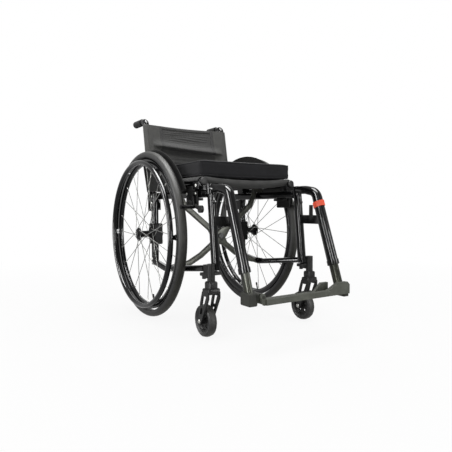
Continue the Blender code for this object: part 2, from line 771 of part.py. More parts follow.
def caster_housing():
    """The bearing tube with its casting, which carries the post's foot and the rail's end."""
    top_z = HOUSING_LOW_Z + HOUSING_HEIGHT
    inner_x = FRONT_POST_X - FRONT_POST_WIDTH / 2
    tube_foot = (CASTER_X, CASTER_STEM_Y, HOUSING_LOW_Z)
    tube = rod(tube_foot, (CASTER_X, CASTER_STEM_Y, top_z), HOUSING_RADIUS)
    web = block(
        (FRONT_POST_X + FRONT_POST_WIDTH / 2 + GAP, CASTER_STEM_Y, HOUSING_LOW_Z + HOUSING_WEB_LIFT),
        (CASTER_X + HOUSING_RADIUS * 0.8, LOWER_RAIL_FRONT_Y - RUN_GAP * 2, top_z - LAP),
    )
    shelf = block(
        (inner_x, CASTER_STEM_Y + RUN_GAP, FRONT_POST_FOOT_Z - POST_FOOT_PLATE_DROP),
        (CASTER_X, FRONT_POST_FOOT_Y + FRONT_POST_DEPTH / 2, FRONT_POST_FOOT_Z - RUN_GAP * 3),
    )
    under = block(
        (CASTER_X - RAIL_BOSS_WIDTH / 2, CASTER_STEM_Y, LOWER_RAIL_FRONT_Z - RAIL_BOSS_LOW),
        (
            CASTER_X + RAIL_BOSS_WIDTH / 2,
            LOWER_RAIL_FRONT_Y + RAIL_BOSS_LENGTH,
            LOWER_RAIL_FRONT_Z - RAIL_BOSS_HIGH,
        ),
    )
    knob_y = LOWER_RAIL_FRONT_Y + RAIL_BOSS_LENGTH / 2
    knob = rod(
        (CASTER_X, knob_y, LOWER_RAIL_FRONT_Z - RAIL_BOSS_LOW - RAIL_BOLT_HEIGHT),
        (CASTER_X, knob_y, LOWER_RAIL_FRONT_Z - (RAIL_BOSS_LOW + RAIL_BOSS_HIGH) / 2),
        HOUSING_BOLT_RADIUS,
        PIN_SIDES,
    )
    bore = rod(
        (CASTER_X, CASTER_STEM_Y, HOUSING_LOW_Z - HOUSING_HEIGHT),
        (CASTER_X, CASTER_STEM_Y, HOUSING_LOW_Z + STEM_LENGTH + RUN_GAP),
        STEM_RADIUS + GAP,
    )
    return cut(joined(tube, web, shelf, under, knob), bore)


def axle_plate():
    """The clamp round the rear post, with a row of holes and the sleeve for the axle."""
    half_depth = AXLE_PLATE_DEPTH / 2
    outer_x = HUB_INNER_X - GAP
    low_z = TYRE_RADIUS - AXLE_PLATE_HEIGHT / 2
    high_z = TYRE_RADIUS + AXLE_PLATE_HEIGHT / 2
    body = block((AXLE_PLATE_INNER_X, -half_depth, low_z), (outer_x, half_depth, high_z), EDGE_BEVEL)
    sleeve = along_axle(AXLE_SLEEVE_RADIUS, AXLE_SLEEVE_INNER_X, AXLE_PLATE_INNER_X + LAP)
    room = loft(
        [
            ((POST_X, 0, REAR_POST_BOTTOM_Z), POST_WIDTH / 2 + GAP, POST_DEPTH / 2 + GAP),
            ((POST_X, 0, REAR_POST_TOP_Z), POST_WIDTH / 2 + GAP, POST_DEPTH / 2 + GAP),
        ],
        X_AXIS,
        3.0,
    )
    holes = [along_axle(AXLE_RADIUS + GAP, AXLE_INNER_X - GAP, outer_x + GAP * 2)]
    for step in (-1, 1):
        z = TYRE_RADIUS + step * AXLE_HOLES_PITCH
        hole_end = (POST_X - POST_WIDTH / 4, 0, z)
        holes.append(rod((AXLE_INNER_X, 0, z), hole_end, AXLE_HOLE_RADIUS, PIN_SIDES))
    return cut(joined(body, sleeve), room, *holes)


def side_guard():
    """A sheet that follows the tyre above the rail, with two tabs down to the rail."""
    top_radius = TYRE_RADIUS + GUARD_TYRE_REACH
    rear = math.degrees(math.acos(GUARD_REAR_Y / top_radius))
    front = 180 - math.degrees(math.asin((GUARD_LOW_Z - TYRE_RADIUS) / top_radius))
    outline = arc((0, TYRE_RADIUS), top_radius, rear, front, 14)
    outline.append((GUARD_REAR_LOW_Y, GUARD_LOW_Z))
    low_x = GUARD_X - GUARD_THICKNESS / 2
    high_x = GUARD_X + GUARD_THICKNESS / 2
    sheet = slab(outline, "x", low_x, high_x)
    rail_x = TOP_RAIL_X + TOP_RAIL_WIDTH / 2 + GAP
    foot_z = TOP_RAIL_Z + TOP_RAIL_HEIGHT / 2 - GUARD_FOOT_DROP
    tabs = []
    for y in GUARD_TABS_Y:
        front_y = y - GUARD_TAB_WIDTH / 2
        rear_y = y + GUARD_TAB_WIDTH / 2
        tabs.append(block((rail_x, front_y, foot_z - LAP), (low_x + LAP / 2, rear_y, foot_z)))
        riser_top = (high_x - RUN_GAP, rear_y, GUARD_LOW_Z + GUARD_TAB_LAP)
        tabs.append(block((low_x - LAP / 2, front_y, foot_z - LAP), riser_top))
    return joined(sheet, *tabs)


def back_path():
    """The centre line of the back tube, which leans back and bends into the handle."""
    rise = BACK_TOP_Z - BACK_FOOT_Z
    foot = (BACK_TUBE_X, BACK_FOOT_Y, BACK_FOOT_Z)
    corner = (BACK_TUBE_X, BACK_FOOT_Y + rise * math.tan(BACK_LEAN), BACK_TOP_Z)
    end = (BACK_TUBE_X, HANDLE_END_Y - GRIP_END_WALL, BACK_TOP_Z)
    return rounded_path([foot, corner, end], [BACK_BEND_RADIUS], steps=6)


def back_axis_y(z):
    return BACK_FOOT_Y + (z - BACK_FOOT_Z) * math.tan(BACK_LEAN)


def back_tube():
    """The tube with the block at its foot, which is bolted to the rear post below the top rail."""
    stations = [(point, BACK_TUBE_RADIUS, BACK_TUBE_RADIUS) for point in back_path()]
    tube = loft(stations, X_AXIS)
    front_y = TOP_RAIL_REAR_Y + GAP
    foot = block(
        (BACK_TUBE_X - BACK_BLOCK_WIDTH / 2, front_y, BACK_BLOCK_LOW_Z),
        (BACK_TUBE_X + BACK_BLOCK_WIDTH / 2, front_y + BACK_BLOCK_DEPTH, BACK_FOOT_Z + LAP),
        EDGE_BEVEL * 0.7,
    )
    inner_x = POST_X - POST_WIDTH / 2 - GAP
    web = block(
        (inner_x - BACK_WEB_THICKNESS, -POST_DEPTH * 0.4, BACK_BLOCK_LOW_Z + LAP),
        (inner_x, front_y + BACK_BLOCK_DEPTH / 2, TOP_RAIL_Z - TOP_RAIL_HEIGHT / 2 - GAP),
    )
    return joined(tube, foot, web)


def push_grip():
    start = (BACK_TUBE_X, GRIP_START_Y, BACK_TOP_Z)
    end = (BACK_TUBE_X, HANDLE_END_Y, BACK_TOP_Z)
    inner_end = (BACK_TUBE_X, HANDLE_END_Y - GRIP_END_WALL + GAP, BACK_TOP_Z)
    before = (BACK_TUBE_X, GRIP_START_Y - GRIP_CUT_LEAD, BACK_TOP_Z)
    shell = rod(start, end, GRIP_RADIUS)
    bore = rod(before, inner_end, BACK_TUBE_RADIUS + GAP)
    return cut(shell, bore)


def backrest_sling():
    """The cloth round both back tubes, with its sag between them and one cross fold."""
    clear = BACK_TUBE_RADIUS / math.cos(BACK_LEAN) + GAP
    outer = clear + BACK_SLING_THICKNESS
    half_span = BACK_TUBE_X
    front = []
    rear = []
    for step in range(13):
        share = -1 + 2 * step / 12
        sag = BACK_SLING_SAG * (1 - share * share) ** 1.5
        front.append((share * half_span, sag - outer))
        rear.append((share * half_span, sag - clear))
    left_outer = [(half_span + outer * math.sin(a), -outer * math.cos(a)) for a in wrap_angles()]
    left_inner = [(half_span + clear * math.sin(a), -clear * math.cos(a)) for a in wrap_angles()]
    right_outer = [(-x, y) for x, y in reversed(left_outer)]
    right_inner = [(-x, y) for x, y in left_inner]
    loop = front + left_outer + list(reversed(left_inner)) + list(reversed(rear))
    loop += right_inner + right_outer
    levels = []
    for share in (0, 0.5):
        levels.append(BACK_SLING_LOW_Z + share * (BACK_FOLD_Z - BACK_SLING_LOW_Z))
    for share in (-1.2, -0.6, 0, 0.6, 1.2):
        levels.append(BACK_FOLD_Z + share * BACK_FOLD_SPREAD)
    levels.append((BACK_FOLD_Z + BACK_SLING_TOP_Z) / 2)
    levels.append(BACK_SLING_TOP_Z)
    solid = bmesh.new()
    rings = []
    for z in levels:
        fold = BACK_FOLD_DEPTH * math.exp(-(((z - BACK_FOLD_Z) / BACK_FOLD_SPREAD) ** 2))
        ring = []
        for x, y in loop:
            flat = max(0.0, 1 - (abs(x) / (half_span * 0.93)) ** 4)
            place = (x, back_axis_y(z) + y - fold * flat, z)
            ring.append(solid.verts.new(place))
        rings.append(ring)
    for low, high in zip(rings, rings[1:]):
        for index in range(len(loop)):
            after = (index + 1) % len(loop)
            solid.faces.new((low[index], low[after], high[after], high[index]))
    solid.faces.new(rings[0])
    solid.faces.new(rings[-1])
    bmesh.ops.triangulate(solid, faces=[face for face in solid.faces if len(face.verts) > 4])
    bmesh.ops.recalc_face_normals(solid, faces=solid.faces)
    return solid


def wrap_angles():
    """Where the cloth has its points as it goes round a tube."""
    return [math.radians(angle) for angle in (22.5, 45, 67.5, 90)]


# Seat

def seat_rail():
    start = (SEAT_RAIL_X, SEAT_RAIL_FRONT_Y, SEAT_RAIL_Z)
    end = (SEAT_RAIL_X, SEAT_RAIL_REAR_Y, SEAT_RAIL_Z)
    return rod(start, end, SEAT_RAIL_RADIUS)


def seat_sling():
    """The cloth that goes over both seat rails and sags between them."""
    clear = SEAT_RAIL_RADIUS + GAP
    outer = clear + SEAT_CLOTH_THICKNESS
    upper = []
    lower = []
    for step in range(13):
        share = -1 + 2 * step / 12
        sag = SEAT_CLOTH_SAG * (1 - share * share) ** 1.5
        upper.append((share * SEAT_RAIL_X, SEAT_RAIL_Z + outer - sag))
        lower.append((share * SEAT_RAIL_X, SEAT_RAIL_Z + clear - sag))
    angles = wrap_angles()
    left_outer = [(SEAT_RAIL_X + outer * math.sin(a), SEAT_RAIL_Z + outer * math.cos(a)) for a in angles]
    left_inner = [(SEAT_RAIL_X + clear * math.sin(a), SEAT_RAIL_Z + clear * math.cos(a)) for a in angles]
    right_outer = [(-x, z) for x, z in left_outer]
    right_inner = [(-x, z) for x, z in left_inner]
    outline = upper + left_outer + list(reversed(left_inner)) + list(reversed(lower))
    outline += right_inner + list(reversed(right_outer))
    solid = slab(outline, "y", SEAT_CLOTH_FRONT_Y, SEAT_CLOTH_REAR_Y)
    bmesh.ops.triangulate(solid, faces=[face for face in solid.faces if len(face.verts) > 4])
    return solid


def cushion_outline():
    """The cushion seen from above, with sides drawn in between round corners."""
    half = CUSHION_HALF_WIDTH
    radius = CUSHION_CORNER_RADIUS
    middle_y = (CUSHION_FRONT_Y + CUSHION_REAR_Y) / 2
    half_y = (CUSHION_REAR_Y - CUSHION_FRONT_Y) / 2
    corners = ((1, -1, -90), (1, 1, 0), (-1, 1, 90), (-1, -1, 180))
    points = []
    for x_sign, y_sign, start in corners:
        centre = (x_sign * (half - radius), middle_y + y_sign * (half_y - radius))
        points += arc(centre, radius, start, start + 90, 4)
        points += edge_between(points[-1], start, half, half_y, middle_y)
    return points


def edge_between(last, start, half, half_y, middle_y):
    """Points of the side that follows a corner, drawn in at its middle."""
    points = []
    for share in (-0.6, -0.2, 0.2, 0.6):
        draw = CUSHION_SIDE_DRAW * (1 - share * share)
        straight_x = half - CUSHION_CORNER_RADIUS
        straight_y = half_y - CUSHION_CORNER_RADIUS
        if start == -90:
            points.append((last[0] - draw, middle_y + share * straight_y))
        elif start == 0:
            points.append((-share * straight_x, last[1] - draw))
        elif start == 90:
            points.append((last[0] + draw, middle_y - share * straight_y))
        else:
            points.append((share * straight_x, last[1] + draw))
    return points


def cushion():
    """A box cushion with a crowned top, sides drawn in and a flat bottom on the sling."""
    bottom_z = SEAT_RAIL_Z + SEAT_RAIL_RADIUS + GAP + SEAT_CLOTH_THICKNESS + GAP
    height = CUSHION_EDGE_Z - bottom_z
    levels = [
        (CUSHION_EDGE_INSET, bottom_z),
        (0.0, bottom_z + height * 0.15),
        (CUSHION_EDGE_INSET / 2, bottom_z + height * 0.5),
        (0.0, bottom_z + height * 0.85),
        (CUSHION_EDGE_INSET, CUSHION_EDGE_Z),
        (CUSHION_CROWN_RUN * 0.25, CUSHION_EDGE_Z + CUSHION_CROWN * 0.5),
        (CUSHION_CROWN_RUN * 0.625, CUSHION_EDGE_Z + CUSHION_CROWN * 0.85),
        (CUSHION_CROWN_RUN, CUSHION_EDGE_Z + CUSHION_CROWN),
    ]
    middle_y = (CUSHION_FRONT_Y + CUSHION_REAR_Y) / 2
    half_y = (CUSHION_REAR_Y - CUSHION_FRONT_Y) / 2
    solid = bmesh.new()
    rings = []
    for inset, z in levels:
        shrink_x = (CUSHION_HALF_WIDTH - inset) / CUSHION_HALF_WIDTH
        shrink_y = (half_y - inset) / half_y
        ring = []
        for x, y in cushion_outline():
            place = (x * shrink_x, middle_y + (y - middle_y) * shrink_y, z)
            ring.append(solid.verts.new(place))
        rings.append(ring)
    count = len(rings[0])
    for low, high in zip(rings, rings[1:]):
        for index in range(count):
            after = (index + 1) % count
            solid.faces.new((low[index], low[after], high[after], high[index]))
    solid.faces.new(rings[0])
    solid.faces.new(rings[-1])
    bmesh.ops.recalc_face_normals(solid, faces=solid.faces)
    return solid


# Scissor brace

def arm_height(x):
    """How high an arm's centre line is: bowed below the bolt and straight above it."""
    if x < 0:
        rise = BRACE_BOLT_Z - BRACE_PIVOT_Z
        return BRACE_PIVOT_Z + rise * (1 + x / BRACE_PIVOT_X) ** ARM_BOW
    return BRACE_BOLT_Z + ARM_SLOPE * x


def brace_arm(arm):
    """One arm, from its eye on the lower rail's pin to the saddle under the seat rail."""
    low_y, high_y = arm_layer(arm)
    y = (low_y + high_y) / 2
    half_thickness = ARM_THICKNESS / 2
    deep = ARM_DEPTH / 2
    foot = ARM_FOOT_DEPTH / 2
    head = ARM_HEAD_WIDTH / 2
    casting = ARM_CASTING_DEPTH / 2
    inner_x = TOP_RAIL_X - TOP_RAIL_WIDTH / 2
    rail_top = TOP_RAIL_Z + TOP_RAIL_HEIGHT / 2
    run_x = inner_x - RUN_GAP - head
    runs = [(-BRACE_PIVOT_X, foot), (-BRACE_PIVOT_X * 0.9, foot)]
    runs += [(-BRACE_PIVOT_X * share, deep) for share in (0.7, 0.45)]
    runs += [(-ARM_CASTING_END_X, deep), (-ARM_CASTING_X, casting)]
    runs += [(ARM_CASTING_X, casting), (ARM_CASTING_END_X, deep)]
    runs.append((run_x * ARM_ELBOW_SHARE, deep))
    path = [((x, arm_height(x)), half) for x, half in runs]
    path.append(((run_x, TOP_RAIL_Z), head))
    path.append(((run_x + head / 2, SEAT_RAIL_Z - SEAT_RAIL_RADIUS), head))
    stations = [((x, y, z), half_thickness, half) for (x, z), half in path]
    body = loft(stations, Y_AXIS, 4.0, 12)
    eye = rod(
        (-BRACE_PIVOT_X, low_y, BRACE_PIVOT_Z),
        (-BRACE_PIVOT_X, high_y, BRACE_PIVOT_Z),
        ARM_EYE_RADIUS,
    )
    saddle = block(
        (SEAT_RAIL_X - SADDLE_WIDTH * 0.62, low_y, rail_top + GAP),
        (SEAT_RAIL_X + SADDLE_WIDTH / 2, high_y, SEAT_RAIL_Z - RUN_GAP * 3),
    )
    pin_room = rod(
        (-BRACE_PIVOT_X, low_y - GAP, BRACE_PIVOT_Z),
        (-BRACE_PIVOT_X, high_y + GAP, BRACE_PIVOT_Z),
        LUG_PIN_RADIUS + GAP,
    )
    bolt_room = rod(
        (0, low_y - GAP, BRACE_BOLT_Z),
        (0, high_y + GAP, BRACE_BOLT_Z),
        BRACE_BOLT_RADIUS + GAP,
    )
    rail_room = rod(
        (SEAT_RAIL_X, low_y - GAP, SEAT_RAIL_Z),
        (SEAT_RAIL_X, high_y + GAP, SEAT_RAIL_Z),
        SEAT_RAIL_RADIUS + GAP,
        24,
    )
    return cut(joined(body, eye, saddle), pin_room, bolt_room, rail_room)


def brace_bolt():
    front_y = arm_layer("front")[0] - GAP
    rear_y = arm_layer("rear")[1] + GAP
    shank = rod((0, front_y - LAP / 2, BRACE_BOLT_Z), (0, rear_y + LAP / 2, BRACE_BOLT_Z), BRACE_BOLT_RADIUS)
    head = rod(
        (0, front_y - BRACE_BOLT_HEAD_LENGTH, BRACE_BOLT_Z),
        (0, front_y, BRACE_BOLT_Z),
        BRACE_BOLT_HEAD_RADIUS,
    )
    nut_end = (0, rear_y + BRACE_BOLT_HEAD_LENGTH, BRACE_BOLT_Z)
    nut = rod((0, rear_y, BRACE_BOLT_Z), nut_end, BRACE_NUT_RADIUS, 6)
    return joined(shank, head, nut)


# Casters

def caster_wheel_y():
    return CASTER_STEM_Y + CASTER_TRAIL


def caster_fork():
    """The crown with its stem and two windowed legs raked back to the axle."""
    crown_z = HOUSING_LOW_Z - GAP
    low_crown_z = crown_z - CROWN_HEIGHT
    half = CROWN_WIDTH / 2
    inner = CASTER_WIDTH / 2 + LEG_CLEARANCE
    outer = inner + LEG_THICKNESS
    axle_y = caster_wheel_y()
    crown = block(
        (CASTER_X - half, CASTER_STEM_Y - half, low_crown_z),
        (CASTER_X + half, CASTER_STEM_Y + half, crown_z),
        EDGE_BEVEL * 1.3,
    )
    bridge = block(
        (CASTER_X - outer, CASTER_STEM_Y - LEG_TOP_DEPTH / 2, low_crown_z - BRIDGE_DROP),
        (CASTER_X + outer, CASTER_STEM_Y + LEG_TOP_DEPTH / 2, low_crown_z + LAP),
        EDGE_BEVEL,
    )
    stem = rod(
        (CASTER_X, CASTER_STEM_Y, low_crown_z + LAP),
        (CASTER_X, CASTER_STEM_Y, HOUSING_LOW_Z + STEM_LENGTH),
        STEM_RADIUS,
    )
    top_z = low_crown_z - LAP * 1.5
    foot_half = LEG_FOOT_DEPTH / 2
    top_half = LEG_TOP_DEPTH / 2
    outline = [(CASTER_STEM_Y + top_half, top_z), (CASTER_STEM_Y - top_half, top_z)]
    outline.append((CASTER_STEM_Y - top_half, top_z - LEG_SHOULDER_DROP))
    outline += arc((axle_y, CASTER_RADIUS), foot_half, 200, 360, 6)
    outline.append((CASTER_STEM_Y + top_half + LEG_RAKE_REACH, top_z - LEG_RAKE_DROP))
    windows = []
    for low_share, high_share in ((0.10, 0.42), (0.52, 0.74)):
        windows.append(leg_window(low_share, high_share, top_z, outer))
    parts = []
    for near, far in ((inner, outer), (-outer, -inner)):
        parts.append(slab(outline, "x", CASTER_X + near, CASTER_X + far))
    pin_end = inner + LEG_THICKNESS / 2
    pin = rod(
        (CASTER_X - pin_end, axle_y, CASTER_RADIUS),
        (CASTER_X + pin_end, axle_y, CASTER_RADIUS),
        CASTER_AXLE_RADIUS,
        PIN_SIDES,
    )
    return joined(cut(joined(crown, bridge, *parts), *windows), stem, pin)


def leg_window(low_share, high_share, top_z, outer):
    """A cutter through both legs between two shares of the way down to the axle."""
    axle_y = caster_wheel_y()
    points = []
    for share, side in ((low_share, -1), (low_share, 1), (high_share, 1), (high_share, -1)):
        z = top_z - LAP + (CASTER_RADIUS - top_z + LAP) * share
        middle = CASTER_STEM_Y + (axle_y - CASTER_STEM_Y) * share
        half = LEG_TOP_DEPTH / 2 + (LEG_FOOT_DEPTH - LEG_TOP_DEPTH) / 2 * share - LEG_WALL
        points.append((middle + side * half, z))
    return slab(points, "x", CASTER_X - outer - LAP / 2, CASTER_X + outer + LAP / 2)


def caster_wheel():
    """The moulded wheel, with round openings between its spokes."""
    centre_y = caster_wheel_y()
    bore = CASTER_AXLE_RADIUS + GAP
    half = CASTER_HUB_WIDTH / 2
    boss = CASTER_WIDTH / 2
    face = half * 0.4
    web_end = CASTER_HUB_RADIUS - CASTER_FLANGE * 1.5
    flange = CASTER_HUB_RADIUS - CASTER_FLANGE
    profile = [
        (bore, -boss),
        (CASTER_BOSS_RADIUS, -boss),
        (CASTER_BOSS_RADIUS, -face),
        (web_end, -face),
        (flange, -half),
        (CASTER_HUB_RADIUS, -half),
        (CASTER_HUB_RADIUS, half),
        (flange, half),
        (web_end, face),
        (CASTER_BOSS_RADIUS, face),
        (CASTER_BOSS_RADIUS, boss),
        (bore, boss),
    ]
    wheel = turned(profile, (CASTER_X, centre_y, CASTER_RADIUS), CASTER_SIDES)
    middle = (CASTER_BOSS_RADIUS + web_end) / 2
    holes = []
    for index in range(CASTER_SPOKES):
        angle = math.tau * index / CASTER_SPOKES + math.pi / 2
        y = centre_y + middle * math.cos(angle)
        z = CASTER_RADIUS + middle * math.sin(angle)
        holes.append(rod((CASTER_X - boss, y, z), (CASTER_X + boss, y, z), CASTER_OPENING_RADIUS, 8))
    return cut(wheel, *holes)


def caster_tyre():
    seat = CASTER_HUB_RADIUS + GAP
    half = CASTER_WIDTH / 2
    profile = [
        (seat, -half * 0.72),
        (CASTER_RADIUS * 0.86, -half),
        (CASTER_RADIUS * 0.965, -half * 0.80),
        (CASTER_RADIUS, -half * 0.35),
        (CASTER_RADIUS, half * 0.35),
        (CASTER_RADIUS * 0.965, half * 0.80),
        (CASTER_RADIUS * 0.86, half),
        (seat, half * 0.72),
    ]
    return turned(profile, (CASTER_X, caster_wheel_y(), CASTER_RADIUS), CASTER_SIDES)


# Hangers

def hanger_slope():
    """How far the hanger's straight run goes forward for each metre down."""
    return (HANGER_KNEE_Y - HANGER_END_Y) / (HANGER_KNEE_Z - HANGER_END_Z)


def hanger_axis_y(z):
    return HANGER_END_Y + (z - HANGER_END_Z) * hanger_slope()


def hanger_tube():
    """The hanger with its head on the front post and the bracket that meets the post lower down."""
    start_y = FRONT_POST_TOP_Y - HANGER_HEAD_RADIUS * 0.3
    start = (HANGER_X, start_y, HANGER_TOP_Z)
    top = (HANGER_X, FRONT_POST_TOP_Y - HANGER_TOP_RUN, HANGER_TOP_Z)
    knee = (HANGER_X, HANGER_KNEE_Y, HANGER_KNEE_Z)
    end = (HANGER_X, HANGER_END_Y, HANGER_END_Z)
    path = rounded_path([start, top, knee, end], [HANGER_TOP_BEND_RADIUS, HANGER_KNEE_RADIUS], 5)
    stations = []
    for point in path:
        drop = (HANGER_TOP_Z - point.z) / (HANGER_TOP_Z - SLEEVE_TOP_Z)
        depth = HANGER_TOP_DEPTH + (HANGER_DEPTH - HANGER_TOP_DEPTH) * min(1.0, max(0.0, drop))
        stations.append((point, HANGER_WIDTH / 2, depth / 2))
    tube = loft(stations, X_AXIS, 2.6)
    low_head = Vector((FRONT_POST_X, FRONT_POST_TOP_Y, FRONT_POST_TOP_Z)) + post_axis() * GAP
    height = HANGER_TOP_Z + HANGER_TOP_DEPTH / 2 - RUN_GAP - low_head.z
    head = rod(low_head, low_head + post_axis() * height, HANGER_HEAD_RADIUS, 24)
    collar_top = HANGER_END_Z + HANGER_COLLAR_HEIGHT
    collar = hanger_piece(collar_top, HANGER_END_Z + RUN_GAP, HANGER_COLLAR_WALL)
    return cut(joined(tube, head, collar, latch_bracket()), extension_room())


def hanger_piece(high_z, low_z, wall):
    """A short oval solid round the hanger's straight run, grown by a wall."""
    stations = []
    for z in (high_z, low_z):
        centre = (HANGER_X, hanger_axis_y(z), z)
        stations.append((centre, HANGER_WIDTH / 2 + wall, HANGER_DEPTH / 2 + wall))
    return loft(stations, X_AXIS, 2.6)


def extension_room():
    high_z = HANGER_END_Z + EXTENSION_INSERT + LAP / 2
    low_z = HANGER_END_Z - EXTENSION_CUT_LEAD
    stations = []
    for z in (high_z, low_z):
        centre = (HANGER_X, hanger_axis_y(z), z)
        stations.append((centre, EXTENSION_WIDTH / 2 + GAP, EXTENSION_DEPTH / 2 + GAP))
    return loft(stations, X_AXIS, 2.6)


def latch_bracket():
    """The bracket from the hanger back to the front post, slotted for the release lever."""
    high_z = LATCH_LOW_Z + LATCH_HEIGHT
    rear_low_y = post_axis_y(LATCH_LOW_Z) - FRONT_POST_DEPTH / 2 - RUN_GAP
    rear_high_y = post_axis_y(high_z) - FRONT_POST_DEPTH / 2 - RUN_GAP
    outline = [
        (rear_low_y, LATCH_LOW_Z),
        (rear_high_y, high_z),
        (hanger_axis_y(high_z), high_z),
        (hanger_axis_y(LATCH_LOW_Z), LATCH_LOW_Z),
    ]
    bracket = slab(outline, "x", HANGER_X - LATCH_WIDTH / 2, HANGER_X + LATCH_WIDTH / 2)
    slot = block(
        (HANGER_X - LEVER_WIDTH / 2 - GAP, LEVER_Y - LEVER_DEPTH, high_z - LEVER_SLOT_DEPTH),
        (HANGER_X + LEVER_WIDTH / 2 + GAP, LEVER_Y + LEVER_DEPTH * 2.2, high_z + LAP / 2),
    )
    return cut(bracket, slot)


def latch_lever():
    """The upright lever that frees the hanger. It turns on a pin across the bracket's slot."""
    foot_z = LATCH_LOW_Z + LATCH_HEIGHT - LEVER_FOOT_DEPTH
    outline = arc((LEVER_Y, foot_z), LEVER_FOOT_RADIUS, 180, 360, 6)
    outline += [(LEVER_Y + LEVER_DEPTH / 2, foot_z + LEVER_HEIGHT)]
    outline += [(LEVER_Y - LEVER_DEPTH / 2, foot_z + LEVER_HEIGHT)]
    return slab(outline, "x", HANGER_X - LEVER_WIDTH / 2, HANGER_X + LEVER_WIDTH / 2)


def extension_tube(with_rest):
    high_z = HANGER_END_Z + EXTENSION_INSERT
    stations = []
    for z in (high_z, EXTENSION_END_Z):
        centre = (HANGER_X, hanger_axis_y(z), z)
        stations.append((centre, EXTENSION_WIDTH / 2, EXTENSION_DEPTH / 2))
    tube = loft(stations, X_AXIS, 2.6)
    if not with_rest:
        return tube
    low_z = PLATE_TOP_Z - PLATE_THICKNESS - GAP
    centre_y = hanger_axis_y(EXTENSION_END_Z)
    drop = block(
        (HANGER_X - EXTENSION_WIDTH / 2, centre_y - REST_STEM_FRONT, low_z - REST_THICKNESS),
        (HANGER_X + EXTENSION_WIDTH / 2, centre_y + REST_STEM_REAR, EXTENSION_END_Z + REST_STEM_LAP),
    )
    tongue = block(
        (HANGER_X - EXTENSION_WIDTH / 2, PLATE_FRONT_Y + REST_INSET, low_z - REST_THICKNESS),
        (HANGER_X + EXTENSION_WIDTH / 2, centre_y - LAP, low_z),
    )
    return joined(tube, drop, tongue)


def coloured_sleeve():
    """The ring that marks the left hanger just below its knee."""
    low_z = SLEEVE_TOP_Z - SLEEVE_HEIGHT
    ring = hanger_piece(SLEEVE_TOP_Z, low_z, GAP + SLEEVE_WALL)
    room = hanger_piece(SLEEVE_TOP_Z + LAP, low_z - LAP, GAP)
    return cut(ring, room)


# Footplate

def footplate_clamp():
    """The clamp at the foot of the right extension tube, with the lug and pin of the plate."""
    high_y = hanger_axis_y(CLAMP_HIGH_Z) + EXTENSION_DEPTH / 2 + CLAMP_WALL
    low_y = hanger_axis_y(CLAMP_LOW_Z) - EXTENSION_DEPTH / 2 + CLAMP_WALL
    half = EXTENSION_WIDTH / 2 + CLAMP_WALL
    low_corner = (-HANGER_X - half, low_y, CLAMP_LOW_Z)
    high_corner = (-HANGER_X + half, high_y, CLAMP_HIGH_Z)
    body = block(low_corner, high_corner, EDGE_BEVEL)
    lug_low, lug_high = flip_lug_layer()
    outline = [(-HANGER_X + half - LAP, FLIP_PIN_Z - FLIP_EAR_RADIUS)]
    outline += arc((FLIP_PIN_X, FLIP_PIN_Z), FLIP_EAR_RADIUS, -90, 90, 8)
    outline.append((-HANGER_X + half - LAP, FLIP_PIN_Z + FLIP_EAR_RADIUS))
    lug = slab(outline, "y", lug_low, lug_high)
    pin = rod(
        (FLIP_PIN_X, lug_low - FLIP_EAR_THICKNESS - LAP / 2, FLIP_PIN_Z),
        (FLIP_PIN_X, lug_high + FLIP_EAR_THICKNESS + LAP / 2, FLIP_PIN_Z),
        FLIP_PIN_RADIUS,
    )
    stations = []
    for z in (CLAMP_HIGH_Z + 0.02, EXTENSION_END_Z - GAP):
        centre = (-HANGER_X, hanger_axis_y(z), z)
        stations.append((centre, EXTENSION_WIDTH / 2 + GAP, EXTENSION_DEPTH / 2 + GAP))
    return joined(cut(body, loft(stations, X_AXIS, 2.6)), lug, pin)


def flip_lug_layer():
    """The low and high Y of the clamp's lug, between the plate's two ears."""
    rear = PLATE_REAR_Y - FLIP_EAR_THICKNESS - GAP
    front = PLATE_FRONT_Y + FLIP_EAR_THICKNESS + FLIP_EAR_INSET + GAP
    return front, rear


